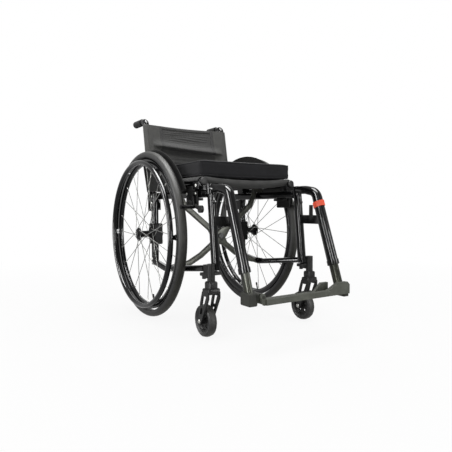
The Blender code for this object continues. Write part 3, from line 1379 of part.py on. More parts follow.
def footplate():
    """One moulded plate with a front lip, ribs below, ears at its right and two walls at its left."""
    low_z = PLATE_TOP_Z - PLATE_THICKNESS
    lip_z = PLATE_TOP_Z + PLATE_LIP
    deck = block((PLATE_RIGHT_X, PLATE_STRIP_Y - LAP / 2, low_z), (PLATE_LEFT_X, PLATE_REAR_Y, PLATE_TOP_Z))
    strip = block((PLATE_RIGHT_X, PLATE_FRONT_Y, low_z), (PLATE_TIP_X, PLATE_STRIP_Y, lip_z))
    wall = slab(
        [
            (PLATE_WALL_START_X - PLATE_WALL_LAP, lip_z - LAP),
            (PLATE_TIP_X, lip_z - LAP),
            (PLATE_TIP_X, PLATE_WALL_TOP_Z - PLATE_TIP_CORNER),
            (PLATE_TIP_X - PLATE_TIP_CORNER, PLATE_WALL_TOP_Z),
            (PLATE_WALL_TOP_X, PLATE_WALL_TOP_Z),
        ],
        "y",
        PLATE_FRONT_Y,
        PLATE_STRIP_Y,
    )
    cheek = slab(
        [
            (PLATE_CHEEK_X, PLATE_TOP_Z - LAP),
            (PLATE_CHEEK_END_X, PLATE_TOP_Z - LAP),
            (PLATE_CHEEK_END_X, PLATE_CHEEK_TOP_Z),
            (PLATE_CHEEK_TOP_X, PLATE_CHEEK_TOP_Z),
        ],
        "y",
        PLATE_REAR_Y - PLATE_CHEEK_DEPTH,
        PLATE_REAR_Y,
    )
    ears = [flip_ear(PLATE_FRONT_Y + FLIP_EAR_INSET), flip_ear(PLATE_REAR_Y - FLIP_EAR_THICKNESS)]
    plate = joined(deck, strip, wall, cheek, *ears)
    pockets = []
    inner_right = PLATE_RIGHT_X + PLATE_RIB
    inner_left = PLATE_LEFT_X - PLATE_RIB
    pitch = (inner_left - inner_right + PLATE_RIB) / PLATE_POCKETS
    for index in range(PLATE_POCKETS):
        start = inner_right + pitch * index
        pockets.append(
            block(
                (start, PLATE_FRONT_Y + PLATE_RIB, low_z - LAP / 2),
                (start + pitch - PLATE_RIB, PLATE_REAR_Y - PLATE_RIB, PLATE_TOP_Z - PLATE_SKIN),
            )
        )
    room = rod(
        (FLIP_PIN_X, PLATE_FRONT_Y - 0.01, FLIP_PIN_Z),
        (FLIP_PIN_X, PLATE_REAR_Y + 0.01, FLIP_PIN_Z),
        FLIP_PIN_RADIUS + GAP,
    )
    return cut(plate, room, *pockets)


def flip_ear(front_y):
    """An ear of the footplate, round the flip pin."""
    low_z = PLATE_TOP_Z - PLATE_THICKNESS
    outline = arc((FLIP_PIN_X, FLIP_PIN_Z), FLIP_EAR_RADIUS, 70, 200, 8)
    outline.append((PLATE_RIGHT_X - FLIP_EAR_REACH, low_z))
    outline.append((PLATE_RIGHT_X + LAP, low_z))
    outline.append((PLATE_RIGHT_X + LAP, PLATE_TOP_Z))
    return slab(outline, "y", front_y, front_y + FLIP_EAR_THICKNESS)


# Brakes

def brake_layers():
    """Where the plate, the lever and the shoe's arm lie side by side along X."""
    plate = TOP_RAIL_X + TOP_RAIL_WIDTH / 2 + GAP
    lever = plate + BRAKE_PLATE_THICKNESS + GAP
    shoe = lever + BRAKE_LEVER_THICKNESS + GAP
    return plate, lever, shoe


def brake_body():
    """The plate on the outside of the top rail, its lip under the rail and its two pins."""
    plate_x, _, shoe_x = brake_layers()
    plate_end = plate_x + BRAKE_PLATE_THICKNESS
    pin_start = plate_end - BRAKE_PIN_RADIUS
    plate = block((plate_x, BRAKE_FRONT_Y, BRAKE_LOW_Z), (plate_end, BRAKE_REAR_Y, BRAKE_HIGH_Z), EDGE_BEVEL)
    rail_low = TOP_RAIL_Z - TOP_RAIL_HEIGHT / 2 - GAP
    lip = block(
        (TOP_RAIL_X - TOP_RAIL_WIDTH / 2, BRAKE_FRONT_Y + BRAKE_LIP_INSET, rail_low - BRAKE_LIP_HEIGHT),
        (plate_end - LAP / 2, BRAKE_REAR_Y - BRAKE_LIP_INSET, rail_low),
    )
    lever_pin = rod(
        (pin_start, BRAKE_PIVOT_Y, BRAKE_PIVOT_Z),
        (shoe_x, BRAKE_PIVOT_Y, BRAKE_PIVOT_Z),
        BRAKE_PIN_RADIUS,
        PIN_SIDES,
    )
    shoe_pin = rod(
        (pin_start, BRAKE_SHOE_PIVOT_Y, BRAKE_SHOE_PIVOT_Z),
        (shoe_x + BRAKE_SHOE_THICKNESS, BRAKE_SHOE_PIVOT_Y, BRAKE_SHOE_PIVOT_Z),
        BRAKE_PIN_RADIUS,
        PIN_SIDES,
    )
    return joined(plate, lip, lever_pin, shoe_pin)


def brake_lever():
    """The lever, from its eye on the pin to its round end."""
    lever_x = brake_layers()[1]
    end_x = lever_x + BRAKE_LEVER_THICKNESS
    centre_x = (lever_x + end_x) / 2
    half = BRAKE_LEVER_THICKNESS / 2
    start = Vector((centre_x, BRAKE_PIVOT_Y, BRAKE_PIVOT_Z))
    end = Vector((centre_x, BRAKE_LEVER_END_Y, BRAKE_LEVER_END_Z))
    bar = loft(
        [(start, half, BRAKE_LEVER_EYE_DEPTH / 2), (end, half, BRAKE_LEVER_END_DEPTH / 2)],
        X_AXIS,
        4.0,
        12,
    )
    eye = rod((lever_x, start.y, start.z), (end_x, start.y, start.z), BRAKE_LINK_RADIUS)
    knob = rod((lever_x, end.y, end.z), (end_x + LAP, end.y, end.z), BRAKE_LEVER_KNOB_RADIUS)
    room = rod((lever_x - 0.01, start.y, start.z), (end_x + 0.01, start.y, start.z), BRAKE_PIN_RADIUS + GAP)
    return cut(joined(bar, eye, knob), room)


def brake_shoe():
    """The shoe's arm and the bar that reaches out in front of the tyre."""
    shoe_x = brake_layers()[2]
    end_x = shoe_x + BRAKE_SHOE_THICKNESS
    centre_x = (shoe_x + end_x) / 2
    half = BRAKE_SHOE_THICKNESS / 2
    start = (centre_x, BRAKE_SHOE_PIVOT_Y, BRAKE_SHOE_PIVOT_Z)
    end = (centre_x, BRAKE_SHOE_Y, BRAKE_SHOE_Z)
    deep = BRAKE_SHOE_ARM_DEPTH / 2
    arm = loft([(start, half, deep), (end, half, deep)], X_AXIS, 4.0, 12)
    eye = rod((shoe_x, *start[1:]), (end_x, *start[1:]), BRAKE_LINK_RADIUS)
    bar = rod((shoe_x, *end[1:]), (BRAKE_SHOE_END_X, *end[1:]), BRAKE_SHOE_RADIUS)
    room = rod((shoe_x - 0.01, *start[1:]), (end_x + 0.01, *start[1:]), BRAKE_PIN_RADIUS + GAP)
    return cut(joined(arm, eye, bar), room)


def make_looks():
    return {
        "tyre": finish_material("tyre rubber", (0.045, 0.045, 0.048), 0.85, 0.0),
        "black_alloy": finish_material("gloss black alloy", (0.008, 0.008, 0.009), 0.18, 0.6),
        "spokes": finish_material("grey spokes", (0.35, 0.35, 0.34), 0.35, 1.0),
        "steel": finish_material("bright steel", (0.55, 0.55, 0.54), 0.25, 1.0),
        "grey_alloy": finish_material("grey alloy", (0.12, 0.12, 0.115), 0.4, 0.8),
        "black_plastic": finish_material("black plastic", (0.018, 0.018, 0.018), 0.5, 0.0),
        "olive_plate": finish_material("olive grey plate", (0.114, 0.119, 0.100), 0.6, 0.0),
        "orange": finish_material("orange sleeve", (1.0, 0.127, 0.061), 0.5, 0.0),
        "cushion": finish_material("black cushion cloth", (0.018, 0.018, 0.019), 0.95, 0.0),
        "sling": finish_material("charcoal sling cloth", (0.05, 0.05, 0.046), 0.9, 0.0),
        "grip": finish_material("grip rubber", (0.012, 0.012, 0.012), 0.75, 0.0),
    }


def add_side(side, sign, looks):
    """Everything that there is one of on each side."""
    arm = "front" if sign < 0 else "rear"
    black = looks["black_alloy"]
    stem = (CASTER_X, CASTER_STEM_Y, CASTER_RADIUS)
    caster_axle = (CASTER_X, caster_wheel_y(), CASTER_RADIUS)
    swing = (FRONT_POST_X, FRONT_POST_TOP_Y, FRONT_POST_TOP_Z)
    lever_foot = (HANGER_X, LEVER_Y, LATCH_LOW_Z + LATCH_HEIGHT - LEVER_FOOT_DEPTH)
    _, lever_x, shoe_x = brake_layers()
    lever_pivot = (lever_x, BRAKE_PIVOT_Y, BRAKE_PIVOT_Z)
    shoe_pivot = (shoe_x, BRAKE_SHOE_PIVOT_Y, BRAKE_SHOE_PIVOT_Z)
    add_rear_wheel(side, sign, looks)
    add_piece(f"rear_post_{side}", rear_post(), black, sign=sign)
    add_piece(f"top_rail_{side}", top_rail(), black, sign=sign)
    add_piece(f"lower_rail_{side}", lower_rail(arm), black, sign=sign)
    add_piece(f"front_post_{side}", front_post(), black, sign=sign)
    add_piece(f"caster_housing_{side}", caster_housing(), looks["black_plastic"], sign=sign)
    add_piece(f"axle_plate_{side}", axle_plate(), black, sign=sign)
    add_piece(f"side_guard_{side}", side_guard(), looks["black_plastic"], sign=sign)
    add_piece(f"back_tube_{side}", back_tube(), black, sign=sign)
    add_piece(f"push_grip_{side}", push_grip(), looks["grip"], sign=sign)
    rail_pivot = (SEAT_RAIL_X, BRACE_Y, SEAT_RAIL_Z)
    add_piece(f"seat_rail_{side}", seat_rail(), black, rail_pivot, sign)
    add_piece(f"caster_fork_{side}", caster_fork(), looks["grey_alloy"], stem, sign)
    add_piece(f"caster_wheel_{side}", caster_wheel(), looks["black_plastic"], caster_axle, sign)
    add_piece(f"caster_tyre_{side}", caster_tyre(), looks["tyre"], caster_axle, sign)
    add_piece(f"hanger_tube_{side}", hanger_tube(), black, swing, sign)
    add_piece(f"extension_tube_{side}", extension_tube(sign > 0), looks["grey_alloy"], swing, sign)
    add_piece(f"latch_lever_{side}", latch_lever(), looks["black_plastic"], lever_foot, sign)
    add_piece(f"brake_body_{side}", brake_body(), black, sign=sign)
    add_piece(f"brake_lever_{side}", brake_lever(), looks["black_plastic"], lever_pivot, sign)
    add_piece(f"brake_shoe_{side}", brake_shoe(), black, shoe_pivot, sign)


def main():
    clear_scene()
    centre = bpy.data.objects.new("chair_centre", None)
    centre.location = (0, AXLE_Y, 0)
    bpy.context.scene.collection.objects.link(centre)
    looks = make_looks()
    for side, sign in (("right", -1), ("left", 1)):
        add_side(side, sign, looks)
    front_arm = brace_arm("front")
    rear_arm = brace_arm("rear")
    bmesh.ops.scale(rear_arm, vec=(-1, 1, 1), verts=rear_arm.verts)
    bmesh.ops.reverse_faces(rear_arm, faces=rear_arm.faces)
    front_pivot = (-BRACE_PIVOT_X, BRACE_Y, BRACE_PIVOT_Z)
    bolt_centre = (0, BRACE_Y, BRACE_BOLT_Z)
    add_piece("brace_arm_front", front_arm, looks["grey_alloy"], front_pivot)
    add_piece("brace_arm_rear", rear_arm, looks["grey_alloy"], bolt_centre)
    add_piece("brace_bolt", brace_bolt(), looks["steel"], front_pivot)
    add_piece("seat_sling", seat_sling(), looks["sling"])
    add_piece("cushion", cushion(), looks["cushion"])
    add_piece("backrest_sling", backrest_sling(), looks["sling"])
    add_piece("hanger_sleeve_left", coloured_sleeve(), looks["orange"])
    add_piece("footplate_clamp", footplate_clamp(), looks["olive_plate"])
    flip_pin = (FLIP_PIN_X, PLATE_REAR_Y, FLIP_PIN_Z)
    add_piece("footplate", footplate(), looks["olive_plate"], flip_pin)


main()
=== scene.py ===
"""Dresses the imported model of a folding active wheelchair.

Metres, +Z up. The occupant looks along -Y, and the occupant's right is -X, near the camera.
"""
import json
import math

import bmesh
import bpy
from mathutils import Matrix, Vector


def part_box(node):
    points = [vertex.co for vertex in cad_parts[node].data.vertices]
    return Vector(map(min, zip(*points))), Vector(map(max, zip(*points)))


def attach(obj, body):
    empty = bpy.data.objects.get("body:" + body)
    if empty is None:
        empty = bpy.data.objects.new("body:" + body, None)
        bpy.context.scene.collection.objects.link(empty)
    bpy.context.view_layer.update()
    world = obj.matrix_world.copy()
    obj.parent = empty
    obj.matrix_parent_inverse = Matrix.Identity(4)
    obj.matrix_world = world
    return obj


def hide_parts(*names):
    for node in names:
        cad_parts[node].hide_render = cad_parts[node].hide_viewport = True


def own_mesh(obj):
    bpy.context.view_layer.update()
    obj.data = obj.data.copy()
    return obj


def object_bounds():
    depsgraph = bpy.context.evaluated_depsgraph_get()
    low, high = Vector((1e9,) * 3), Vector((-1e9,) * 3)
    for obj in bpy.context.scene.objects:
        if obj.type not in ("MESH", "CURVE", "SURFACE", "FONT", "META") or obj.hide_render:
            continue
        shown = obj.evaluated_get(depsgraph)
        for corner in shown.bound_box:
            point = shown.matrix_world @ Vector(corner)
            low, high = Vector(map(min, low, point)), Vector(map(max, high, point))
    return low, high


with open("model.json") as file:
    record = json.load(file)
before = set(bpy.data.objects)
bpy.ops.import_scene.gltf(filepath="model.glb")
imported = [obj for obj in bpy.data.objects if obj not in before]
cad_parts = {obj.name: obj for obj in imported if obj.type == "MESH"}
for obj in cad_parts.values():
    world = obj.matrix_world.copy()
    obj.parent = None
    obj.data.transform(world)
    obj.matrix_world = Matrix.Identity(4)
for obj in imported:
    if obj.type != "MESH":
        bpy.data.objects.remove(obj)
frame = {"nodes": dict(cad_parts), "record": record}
model_low, model_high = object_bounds()


# Camera
# It stands in front of the chair and to the occupant's right, a little below the seat, as
# the photographer's did, and looks back along the side frame.
CAMERA_PLACE = Vector((-0.9155, -1.4378, 0.3965))
CAMERA_TURN = math.radians(33.07)
CAMERA_TILT = math.radians(-2.25)
CAMERA_ROLL = math.radians(-0.28)
CAMERA_LENS = 36.7


def add_object(name, data):
    """A new object in the scene."""
    added = bpy.data.objects.new(name, data)
    bpy.context.scene.collection.objects.link(added)
    return added


camera = add_object("camera", bpy.data.cameras.new("camera"))
turn = Matrix.Rotation(-CAMERA_TURN, 4, "Z")
tilt = Matrix.Rotation(math.radians(90) + CAMERA_TILT, 4, "X")
roll = Matrix.Rotation(CAMERA_ROLL, 4, "Z")
camera.matrix_world = Matrix.Translation(CAMERA_PLACE) @ turn @ tilt @ roll
camera.data.lens = CAMERA_LENS
camera.data.sensor_width = 36
bpy.context.scene.camera = camera


# Side frames
# Each side is a frame of oval aluminium tubes, coated in gloss black powder. The rails and
# posts are screwed together, so that the whole side stays rigid.
POWDER_BLACK = "#0a0a0b"
POWDER_BLACK_THIN = "#121213"
POWDER_SATIN = "#111111"
ORANGE_PEEL_MM = 1.6
TUBE_EDGE = 0.0012
FILED_EDGE = 0.0009
FRAME_TUBES = ("rear_post", "top_rail", "lower_rail", "front_post", "seat_rail")
CHAIR_SIDES = {"right": -1, "left": 1}
bodies = frame["record"]["behaviour"]["bodies"]


def linear(code):
    """An sRGB hex colour as linear values with an alpha of 1."""
    values = []
    for start in (1, 3, 5):
        value = int(code[start:start + 2], 16) / 255
        low = value <= 0.04045
        values.append(value / 12.92 if low else ((value + 0.055) / 1.055) ** 2.4)
    return (*values, 1)


def per_mm(size):
    """The scale of a pattern whose cells are this many millimetres across."""
    return 1000 / size


def add_node(material, kind, settings=None, links=None):
    """Adds a node with its settings, and with its inputs linked to (node, output) pairs."""
    added = material.node_tree.nodes.new(kind)
    for name, value in (settings or {}).items():
        if isinstance(name, int) or name in added.inputs:
            added.inputs[name].default_value = value
        else:
            setattr(added, name, value)
    for name, (source, output) in (links or {}).items():
        material.node_tree.links.new(source.outputs[output], added.inputs[name])
    return added


def new_finish(name, **settings):
    """A material with its shader's values set. Returns it, its shader and its coordinates."""
    material = bpy.data.materials.new(name)
    material.use_nodes = True
    shader = material.node_tree.nodes["Principled BSDF"]
    for setting, value in settings.items():
        socket = setting.replace("_", " ").title().replace("Ior", "IOR")
        shader.inputs[socket].default_value = value
    return material, shader, add_node(material, "ShaderNodeTexCoord")


def set_ramp(ramp, *stops):
    """Sets a colour ramp from (place, hex colour) pairs."""
    elements = ramp.color_ramp.elements
    while len(elements) < len(stops):
        elements.new(0.5)
    for element, (place, code) in zip(elements, stops):
        element.position = place
        element.color = linear(code)


def mottle(finish, size_mm, detail, *stops):
    """Clouds a finish softly from one colour to another. The stops are those of a ramp."""
    material, shader, place = finish
    scale = {"Scale": per_mm(size_mm), "Detail": detail}
    cloud = add_node(material, "ShaderNodeTexNoise", scale, {"Vector": (place, "Object")})
    colour = add_node(material, "ShaderNodeValToRGB", None, {"Fac": (cloud, "Fac")})
    set_ramp(colour, *stops)
    material.node_tree.links.new(colour.outputs["Color"], shader.inputs["Base Color"])


def grain(finish, pattern, size_mm, detail, strength, depth):
    """Raises a fine pattern of Noise or Voronoi cells on a finish, up to a depth in metres."""
    material, shader, place = finish
    scale = {"Scale": per_mm(size_mm), "Detail": detail}
    cells = add_node(material, f"ShaderNodeTex{pattern}", scale, {"Vector": (place, "Object")})
    height = {"Strength": strength, "Distance": depth}
    bump = add_node(material, "ShaderNodeBump", height, {"Height": (cells, 0)})
    material.node_tree.links.new(bump.outputs["Normal"], shader.inputs["Normal"])


def powder_coat():
    """Gloss black powder coat: deep reflections, with a faint orange peel from the baking."""
    finish = new_finish("gloss_black_powder_coat", roughness=0.12, ior=1.5, specular_ior_level=0.12)
    mottle(finish, 45, 3.0, (0.35, POWDER_BLACK), (0.75, POWDER_BLACK_THIN))
    grain(finish, "Noise", ORANGE_PEEL_MM, 2.0, 0.05, 0.0004)
    return finish[0]


def satin_coat():
    """Satin black powder on plates and castings: the same black, but its highlights spread."""
    finish = new_finish("satin_black_powder_coat", roughness=0.4, ior=1.5, specular_ior_level=0.04)
    mottle(finish, 20, 4.0, (0.3, POWDER_BLACK), (0.75, POWDER_SATIN))
    grain(finish, "Noise", ORANGE_PEEL_MM, 2.0, 0.12, 0.0004)
    return finish[0]


def add_mesh(name, solid, material, body, sharp=40):
    """Makes the solid a piece with a finish, which rides on a body."""
    bmesh.ops.recalc_face_normals(solid, faces=solid.faces)
    mesh = bpy.data.meshes.new(name)
    solid.to_mesh(mesh)
    solid.free()
    mesh.shade_smooth()
    mesh.set_sharp_from_angle(angle=math.radians(sharp))
    mesh.materials.append(material)
    piece = add_object(name, mesh)
    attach(piece, body)
    return piece


def dress(material, *nodes, edge=FILED_EDGE, round_below=30):
    """Gives model nodes a finish, on a copy with its edges eased as a file or a mould eases them.

    Edges that turn by less than round_below degrees are shaded round. The others get a radius.
    """
    for node in nodes:
        solid = bmesh.new()
        solid.from_mesh(frame["nodes"][node].data)
        bmesh.ops.remove_doubles(solid, verts=solid.verts, dist=0.00001)
        bmesh.ops.dissolve_limit(
            solid, angle_limit=math.radians(1), verts=solid.verts, edges=solid.edges
        )
        body = next(body for body, held in bodies.items() if node in held)
        piece = add_mesh(f"{node}_finished", solid, material, body, round_below)
        ease = piece.modifiers.new("eased_edges", "BEVEL")
        ease.width = edge
        ease.segments = 2
        ease.limit_method = "ANGLE"
        ease.angle_limit = math.radians(round_below)
        ease.harden_normals = True
        ease.use_clamp_overlap = True
        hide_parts(node)


black_powder = powder_coat()
satin_powder = satin_coat()
for side in CHAIR_SIDES:
    dress(black_powder, *[f"{tube}_{side}" for tube in FRAME_TUBES], edge=TUBE_EDGE, round_below=50)
    dress(black_powder, f"back_tube_{side}", round_below=40)
    dress(satin_powder, f"axle_plate_{side}", f"brake_body_{side}", f"brake_shoe_{side}")


# Rear wheels
# A rubber tyre sits on a black anodised double-wall rim. Steel spokes cross from two hub
# flanges to nipples in the rim, and the whole wheel pulls off with its quick release axle.
# The tread is painted paler than the walls, partly for dust and partly as a painted highlight.
TYRE_WALL = "#121212"
TYRE_TREAD = "#292924"
TYRE_SIDES = 144
TYRE_STEPS = 66
TYRE_WALL_INSIDE = 0.011
TYRE_TREAD_INSIDE = 0.004
TREAD_GROOVES = (-30, -15, 0, 15, 30)
TREAD_GROOVE_HALF = 2.6
TREAD_GROOVE_DEPTH = 0.0007
SEAT_GAP = 0.0003
ANODISED_BLACK = "#0e0e0f"
ANODISED_BLACK_PALE = "#18181a"
RIM_SIDES = 120
RIM_DEPTH = 0.0215
RIM_WALL_DEPTH = 0.0125
RIM_BED_SHARE = 0.45
RIM_CORNER = 0.0022
SPOKE_GREY = "#6f6f6d"
SPOKE_GREY_PALE = "#9a9a97"
SPOKES_PER_FLANGE = 12
SPOKE_RADIUS = 0.0012
SPOKE_LEAN = math.radians(62)
SPOKE_FLANGE_GAP = 0.002
SPOKE_CIRCLE_SHARE = 0.86
SPOKE_DISH = 0.1
SPOKE_HEAD = ((0, 0), (0, 0.0019), (0.0012, 0.0019), (0.0016, 0))
SPOKE_HEAD_OUT = 0.0006
ZINC_GREY = "#8c8c89"
ZINC_BRIGHT = "#b2b2ae"
OXIDE_BLACK = "#1d1d1d"
OXIDE_BLACK_PALE = "#2e2e2d"
NIPPLE_RADIUS = 0.0019
NIPPLE_LENGTH = 0.011
NIPPLE_STAND = 0.0012
HUB_BORE = 0.0063
HUB_COUNTERBORE = 0.0083
HUB_COUNTERBORE_DEPTH = 0.0033
HUB_CAP_RADIUS = 0.0145
HUB_FLANGE_RADIUS = 0.0240
HUB_FLANGE_THICKNESS = 0.0035
HUB_SHELL_RADIUS = 0.0115
HUB_SHELL_FILLET = 0.003
HUB_SHELL_START = 0.012
HUB_CAP_THICKNESS = 0.002
HUB_CORNER = 0.0006
HUB_SIDES = 48
HANDRIM_TUBE_RADIUS = 0.009
HANDRIM_TUBE_SIDES = 20
HANDRIM_TABS = 6
TAB_HALF_THICKNESS = 0.0017
TAB_HALF_WIDTHS = (0.010, 0.0085, 0.007)
TAB_FOOT = 0.002
TAB_SCREW_RADIUS = 0.0028
TAB_SCREW_HEIGHT = 0.0015
VALVE_ANGLE = math.radians(-104)
VALVE_LENGTH = 0.030
VALVE_NUT_RADIUS = 0.0035
VALVE_NUT_HEIGHT = 0.003
VALVE_STEM_RADIUS = 0.0026
NYLON_BLACK = "#1b1b1b"
NYLON_BLACK_PALE = "#272726"


def tyre_rubber(name, node, wall, tread, wall_inside, tread_inside):
    """Moulded rubber: matt black walls, and a tread painted paler for dust and a painted highlight.

    Its pores are drawn coarser than real ones, so that they show.
    """
    centre, half = measure(node)
    finish = new_finish(
        name,
        roughness=0.52,
        ior=1.5,
        sheen_weight=0.04,
        sheen_roughness=0.5,
        specular_ior_level=0.14,
    )
    material, shader, place = finish
    parts = add_node(material, "ShaderNodeSeparateXYZ", None, {"Vector": (place, "Object")})
    turned = {"Y": (parts, "Y"), "Z": (parts, "Z")}
    across = add_node(material, "ShaderNodeCombineXYZ", None, turned)
    axle = {"operation": "DISTANCE", 1: (0, centre.y, centre.z)}
    radius = add_node(material, "ShaderNodeVectorMath", axle, {0: (across, "Vector")})
    reach = {"From Min": half.z - wall_inside, "From Max": half.z - tread_inside}
    tread_mask = add_node(material, "ShaderNodeMapRange", reach, {"Value": (radius, "Value")})
    cloud = {"Scale": per_mm(22), "Detail": 6.0}
    dust = add_node(material, "ShaderNodeTexNoise", cloud, {"Vector": (place, "Object")})
    both = {0: (tread_mask, "Result"), 1: (dust, "Fac")}
    # The tread share times the dust cloud: paler tread that is part dust, part painted highlight.
    dust_and_highlight = add_node(material, "ShaderNodeMath", {"operation": "MULTIPLY"}, both)
    colour = add_node(material, "ShaderNodeValToRGB", None, {"Fac": (dust_and_highlight, "Value")})
    set_ramp(colour, (0.05, wall), (0.6, tread))
    material.node_tree.links.new(colour.outputs["Color"], shader.inputs["Base Color"])
    grain(finish, "Noise", 1.2, 2.0, 0.25, 0.0003)
    return material


def anodised_black():
    """Anodised aluminium turned on a lathe: nearly black, with soft metallic highlights."""
    finish = new_finish(
        "black_anodised_aluminium", metallic=0.08, roughness=0.15, specular_ior_level=0.18
    )
    mottle(finish, 60, 2.0, (0.3, ANODISED_BLACK), (0.8, ANODISED_BLACK_PALE))
    grain(finish, "Noise", 2.5, 4.0, 0.04, 0.0002)
    return finish[0]


def plated_steel(name, dull, bright, metallic, roughness):
    """Drawn, plated or blackened steel: it shines, and its thin skin looks slightly cloudy."""
    finish = new_finish(name, metallic=metallic, roughness=roughness, specular_ior_level=0.2)
    mottle(finish, 4, 3.0, (0.3, dull), (0.75, bright))
    return finish[0]


def moulded_nylon(name, dark, light, grain_mm, roughness):
    """Moulded nylon: an even satin with the grain of the mould, drawn coarse enough to show."""
    finish = new_finish(name, roughness=roughness, ior=1.46, specular_ior_level=0.1)
    mottle(finish, 30, 4.0, (0.3, dark), (0.75, light))
    grain(finish, "Noise", grain_mm, 2.0, 0.2, 0.0002)
    return finish[0]


def circle(centre, side, up, radius, sides):
    """Points on a circle through two directions at a right angle."""
    points = []
    for step in range(sides):
        angle = math.tau * step / sides
        points.append(centre + (side * math.cos(angle) + up * math.sin(angle)) * radius)
    return points


def skin(solid, point_rings, around=True, closed=False):
    """Faces from each ring of points to the next, and over both ends of a tube.

    A ring may be a single point. Without around, the rings are the rows of an open sheet, and
    closed joins the last ring to the first.
    """
    rings = [[solid.verts.new(point) for point in ring] for ring in point_rings]
    pairs = list(zip(rings, rings[1:]))
    if closed:
        pairs.append((rings[-1], rings[0]))
    for first, second in pairs:
        count = max(len(first), len(second))
        for index in range(count if around else count - 1):
            after = (index + 1) % count
            corners = [first[index % len(first)], first[after % len(first)]]
            corners += [second[after % len(second)], second[index % len(second)]]
            solid.faces.new(list(dict.fromkeys(corners)))
    for end in (rings[0], rings[-1]):
        if around and not closed and len(end) > 1:
            solid.faces.new(end)


def turn_about(profile, start, along, sides, solid=None):
    """A turned solid. The profile's points are (distance along the axis, radius), end to end."""
    solid = solid or bmesh.new()
    along = Vector(along).normalized()
    side = along.orthogonal().normalized()
    up = along.cross(side)
    rings = []
    for distance, radius in profile:
        centre = Vector(start) + along * distance
        rings.append(circle(centre, side, up, radius, sides) if radius else [centre])
    skin(solid, rings)
    return solid


def button_head(place, along, radius, height, solid=None):
    """A round screw head with a socket, on a surface at its place and pointing along."""
    profile = [
        (-height * 0.5, radius * 0.9),
        (0, radius),
        (height * 0.55, radius),
        (height * 0.9, radius * 0.82),
        (height, radius * 0.55),
        (height, radius * 0.42),
        (height * 0.35, radius * 0.38),
        (height * 0.35, 0),
    ]
    return turn_about(profile, place, along, 16, solid)


def measure(node):
    """The middle of a node at rest, and half its size."""
    low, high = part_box(node)
    return (low + high) / 2, (high - low) / 2


def spaced(first, last, steps):
    """Evenly spaced values from the first to the last."""
    return [first + (last - first) * step / steps for step in range(steps + 1)]


def radial(angle):
    """The direction at an angle about the wheel's axle."""
    return Vector((0, math.cos(angle), math.sin(angle)))


def ring_about_x(profile, centre, sides):
    """A ring about the wheel's axle, from a closed outline of (radius, distance along X)."""
    solid = bmesh.new()
    rings = []
    for step in range(sides):
        outward = radial(math.tau * step / sides)
        rings.append([centre + outward * radius + Vector((x, 0, 0)) for radius, x in profile])
    skin(solid, rings, closed=True)
    return solid


def rounded(outline, radius, steps=3):
    """The corners of an outline replaced by short curves."""
    points = []
    count = len(outline)
    for index in range(count):
        corner = Vector(outline[index])
        before = Vector(outline[index - 1]) - corner
        after = Vector(outline[(index + 1) % count]) - corner
        start = corner + before.normalized() * min(radius, before.length * 0.45)
        end = corner + after.normalized() * min(radius, after.length * 0.45)
        for step in range(steps + 1):
            share = step / steps
            point = start * (1 - share) ** 2 + corner * 2 * share * (1 - share) + end * share ** 2
            points.append(tuple(point))
    return points


def tyre_outline(radius, seat_radius, half_width):
    """The section of the tyre, with shallow grooves round the tread."""
    middle = radius - half_width
    lowest = math.degrees(math.asin((middle - seat_radius) / half_width))
    outline = []
    for angle in spaced(-(180 - lowest), 180 - lowest, TYRE_STEPS):
        depth = 0.0
        for groove in TREAD_GROOVES:
            share = max(0.0, 1 - abs(angle - groove) / TREAD_GROOVE_HALF)
            depth = max(depth, TREAD_GROOVE_DEPTH * share)
        swell = half_width - depth
        turn = math.radians(angle)
        outline.append((middle + swell * math.cos(turn), swell * math.sin(turn)))
    return outline


def rim_outline(radius, inner_radius, half):
    """The section of the rim: a flat well for the tyre, and walls that close in on the spokes."""
    section = [
        (radius, -half),
        (radius, half),
        (radius - RIM_WALL_DEPTH, half),
        (inner_radius, half * RIM_BED_SHARE),
        (inner_radius, -half * RIM_BED_SHARE),
        (radius - RIM_WALL_DEPTH, -half),
    ]
    return rounded(section, RIM_CORNER)


def laced_spokes(centre, flanges, rim_inner):
    """Crossed spokes with their heads, and their nipples, from both flanges to the rim."""
    spokes = bmesh.new()
    nipples = bmesh.new()
    nipple = [
        (-NIPPLE_LENGTH, SPOKE_RADIUS),
        (-NIPPLE_LENGTH + 0.001, NIPPLE_RADIUS),
        (NIPPLE_STAND, NIPPLE_RADIUS),
        (NIPPLE_STAND, 0),
    ]
    pitch = math.tau / SPOKES_PER_FLANGE
    for flange_x, shift in flanges:
        rim_x = centre.x + (flange_x - centre.x) * SPOKE_DISH
        for index in range(SPOKES_PER_FLANGE):
            lean = 1 if index % 2 else -1
            rim_angle = pitch * index + shift
            hub_outward = radial(rim_angle + lean * SPOKE_LEAN)
            face_x = flange_x + lean * (SPOKE_FLANGE_GAP + SPOKE_RADIUS)
            start = Vector((face_x, centre.y, centre.z))
            start += hub_outward * HUB_FLANGE_RADIUS * SPOKE_CIRCLE_SHARE
            end = Vector((rim_x, centre.y, centre.z)) + radial(rim_angle) * rim_inner
            along = (end - start).normalized()
            length = (end - start).length
            wire = [(0, 0), (0, SPOKE_RADIUS), (length, SPOKE_RADIUS), (length, 0)]
            turn_about(wire, start, along, 8, spokes)
            head_place = start - Vector((lean * SPOKE_HEAD_OUT, 0, 0))
            turn_about(SPOKE_HEAD, head_place, (-lean, 0, 0), 8, spokes)
            turn_about(nipple, end, along, 8, nipples)
    return spokes, nipples


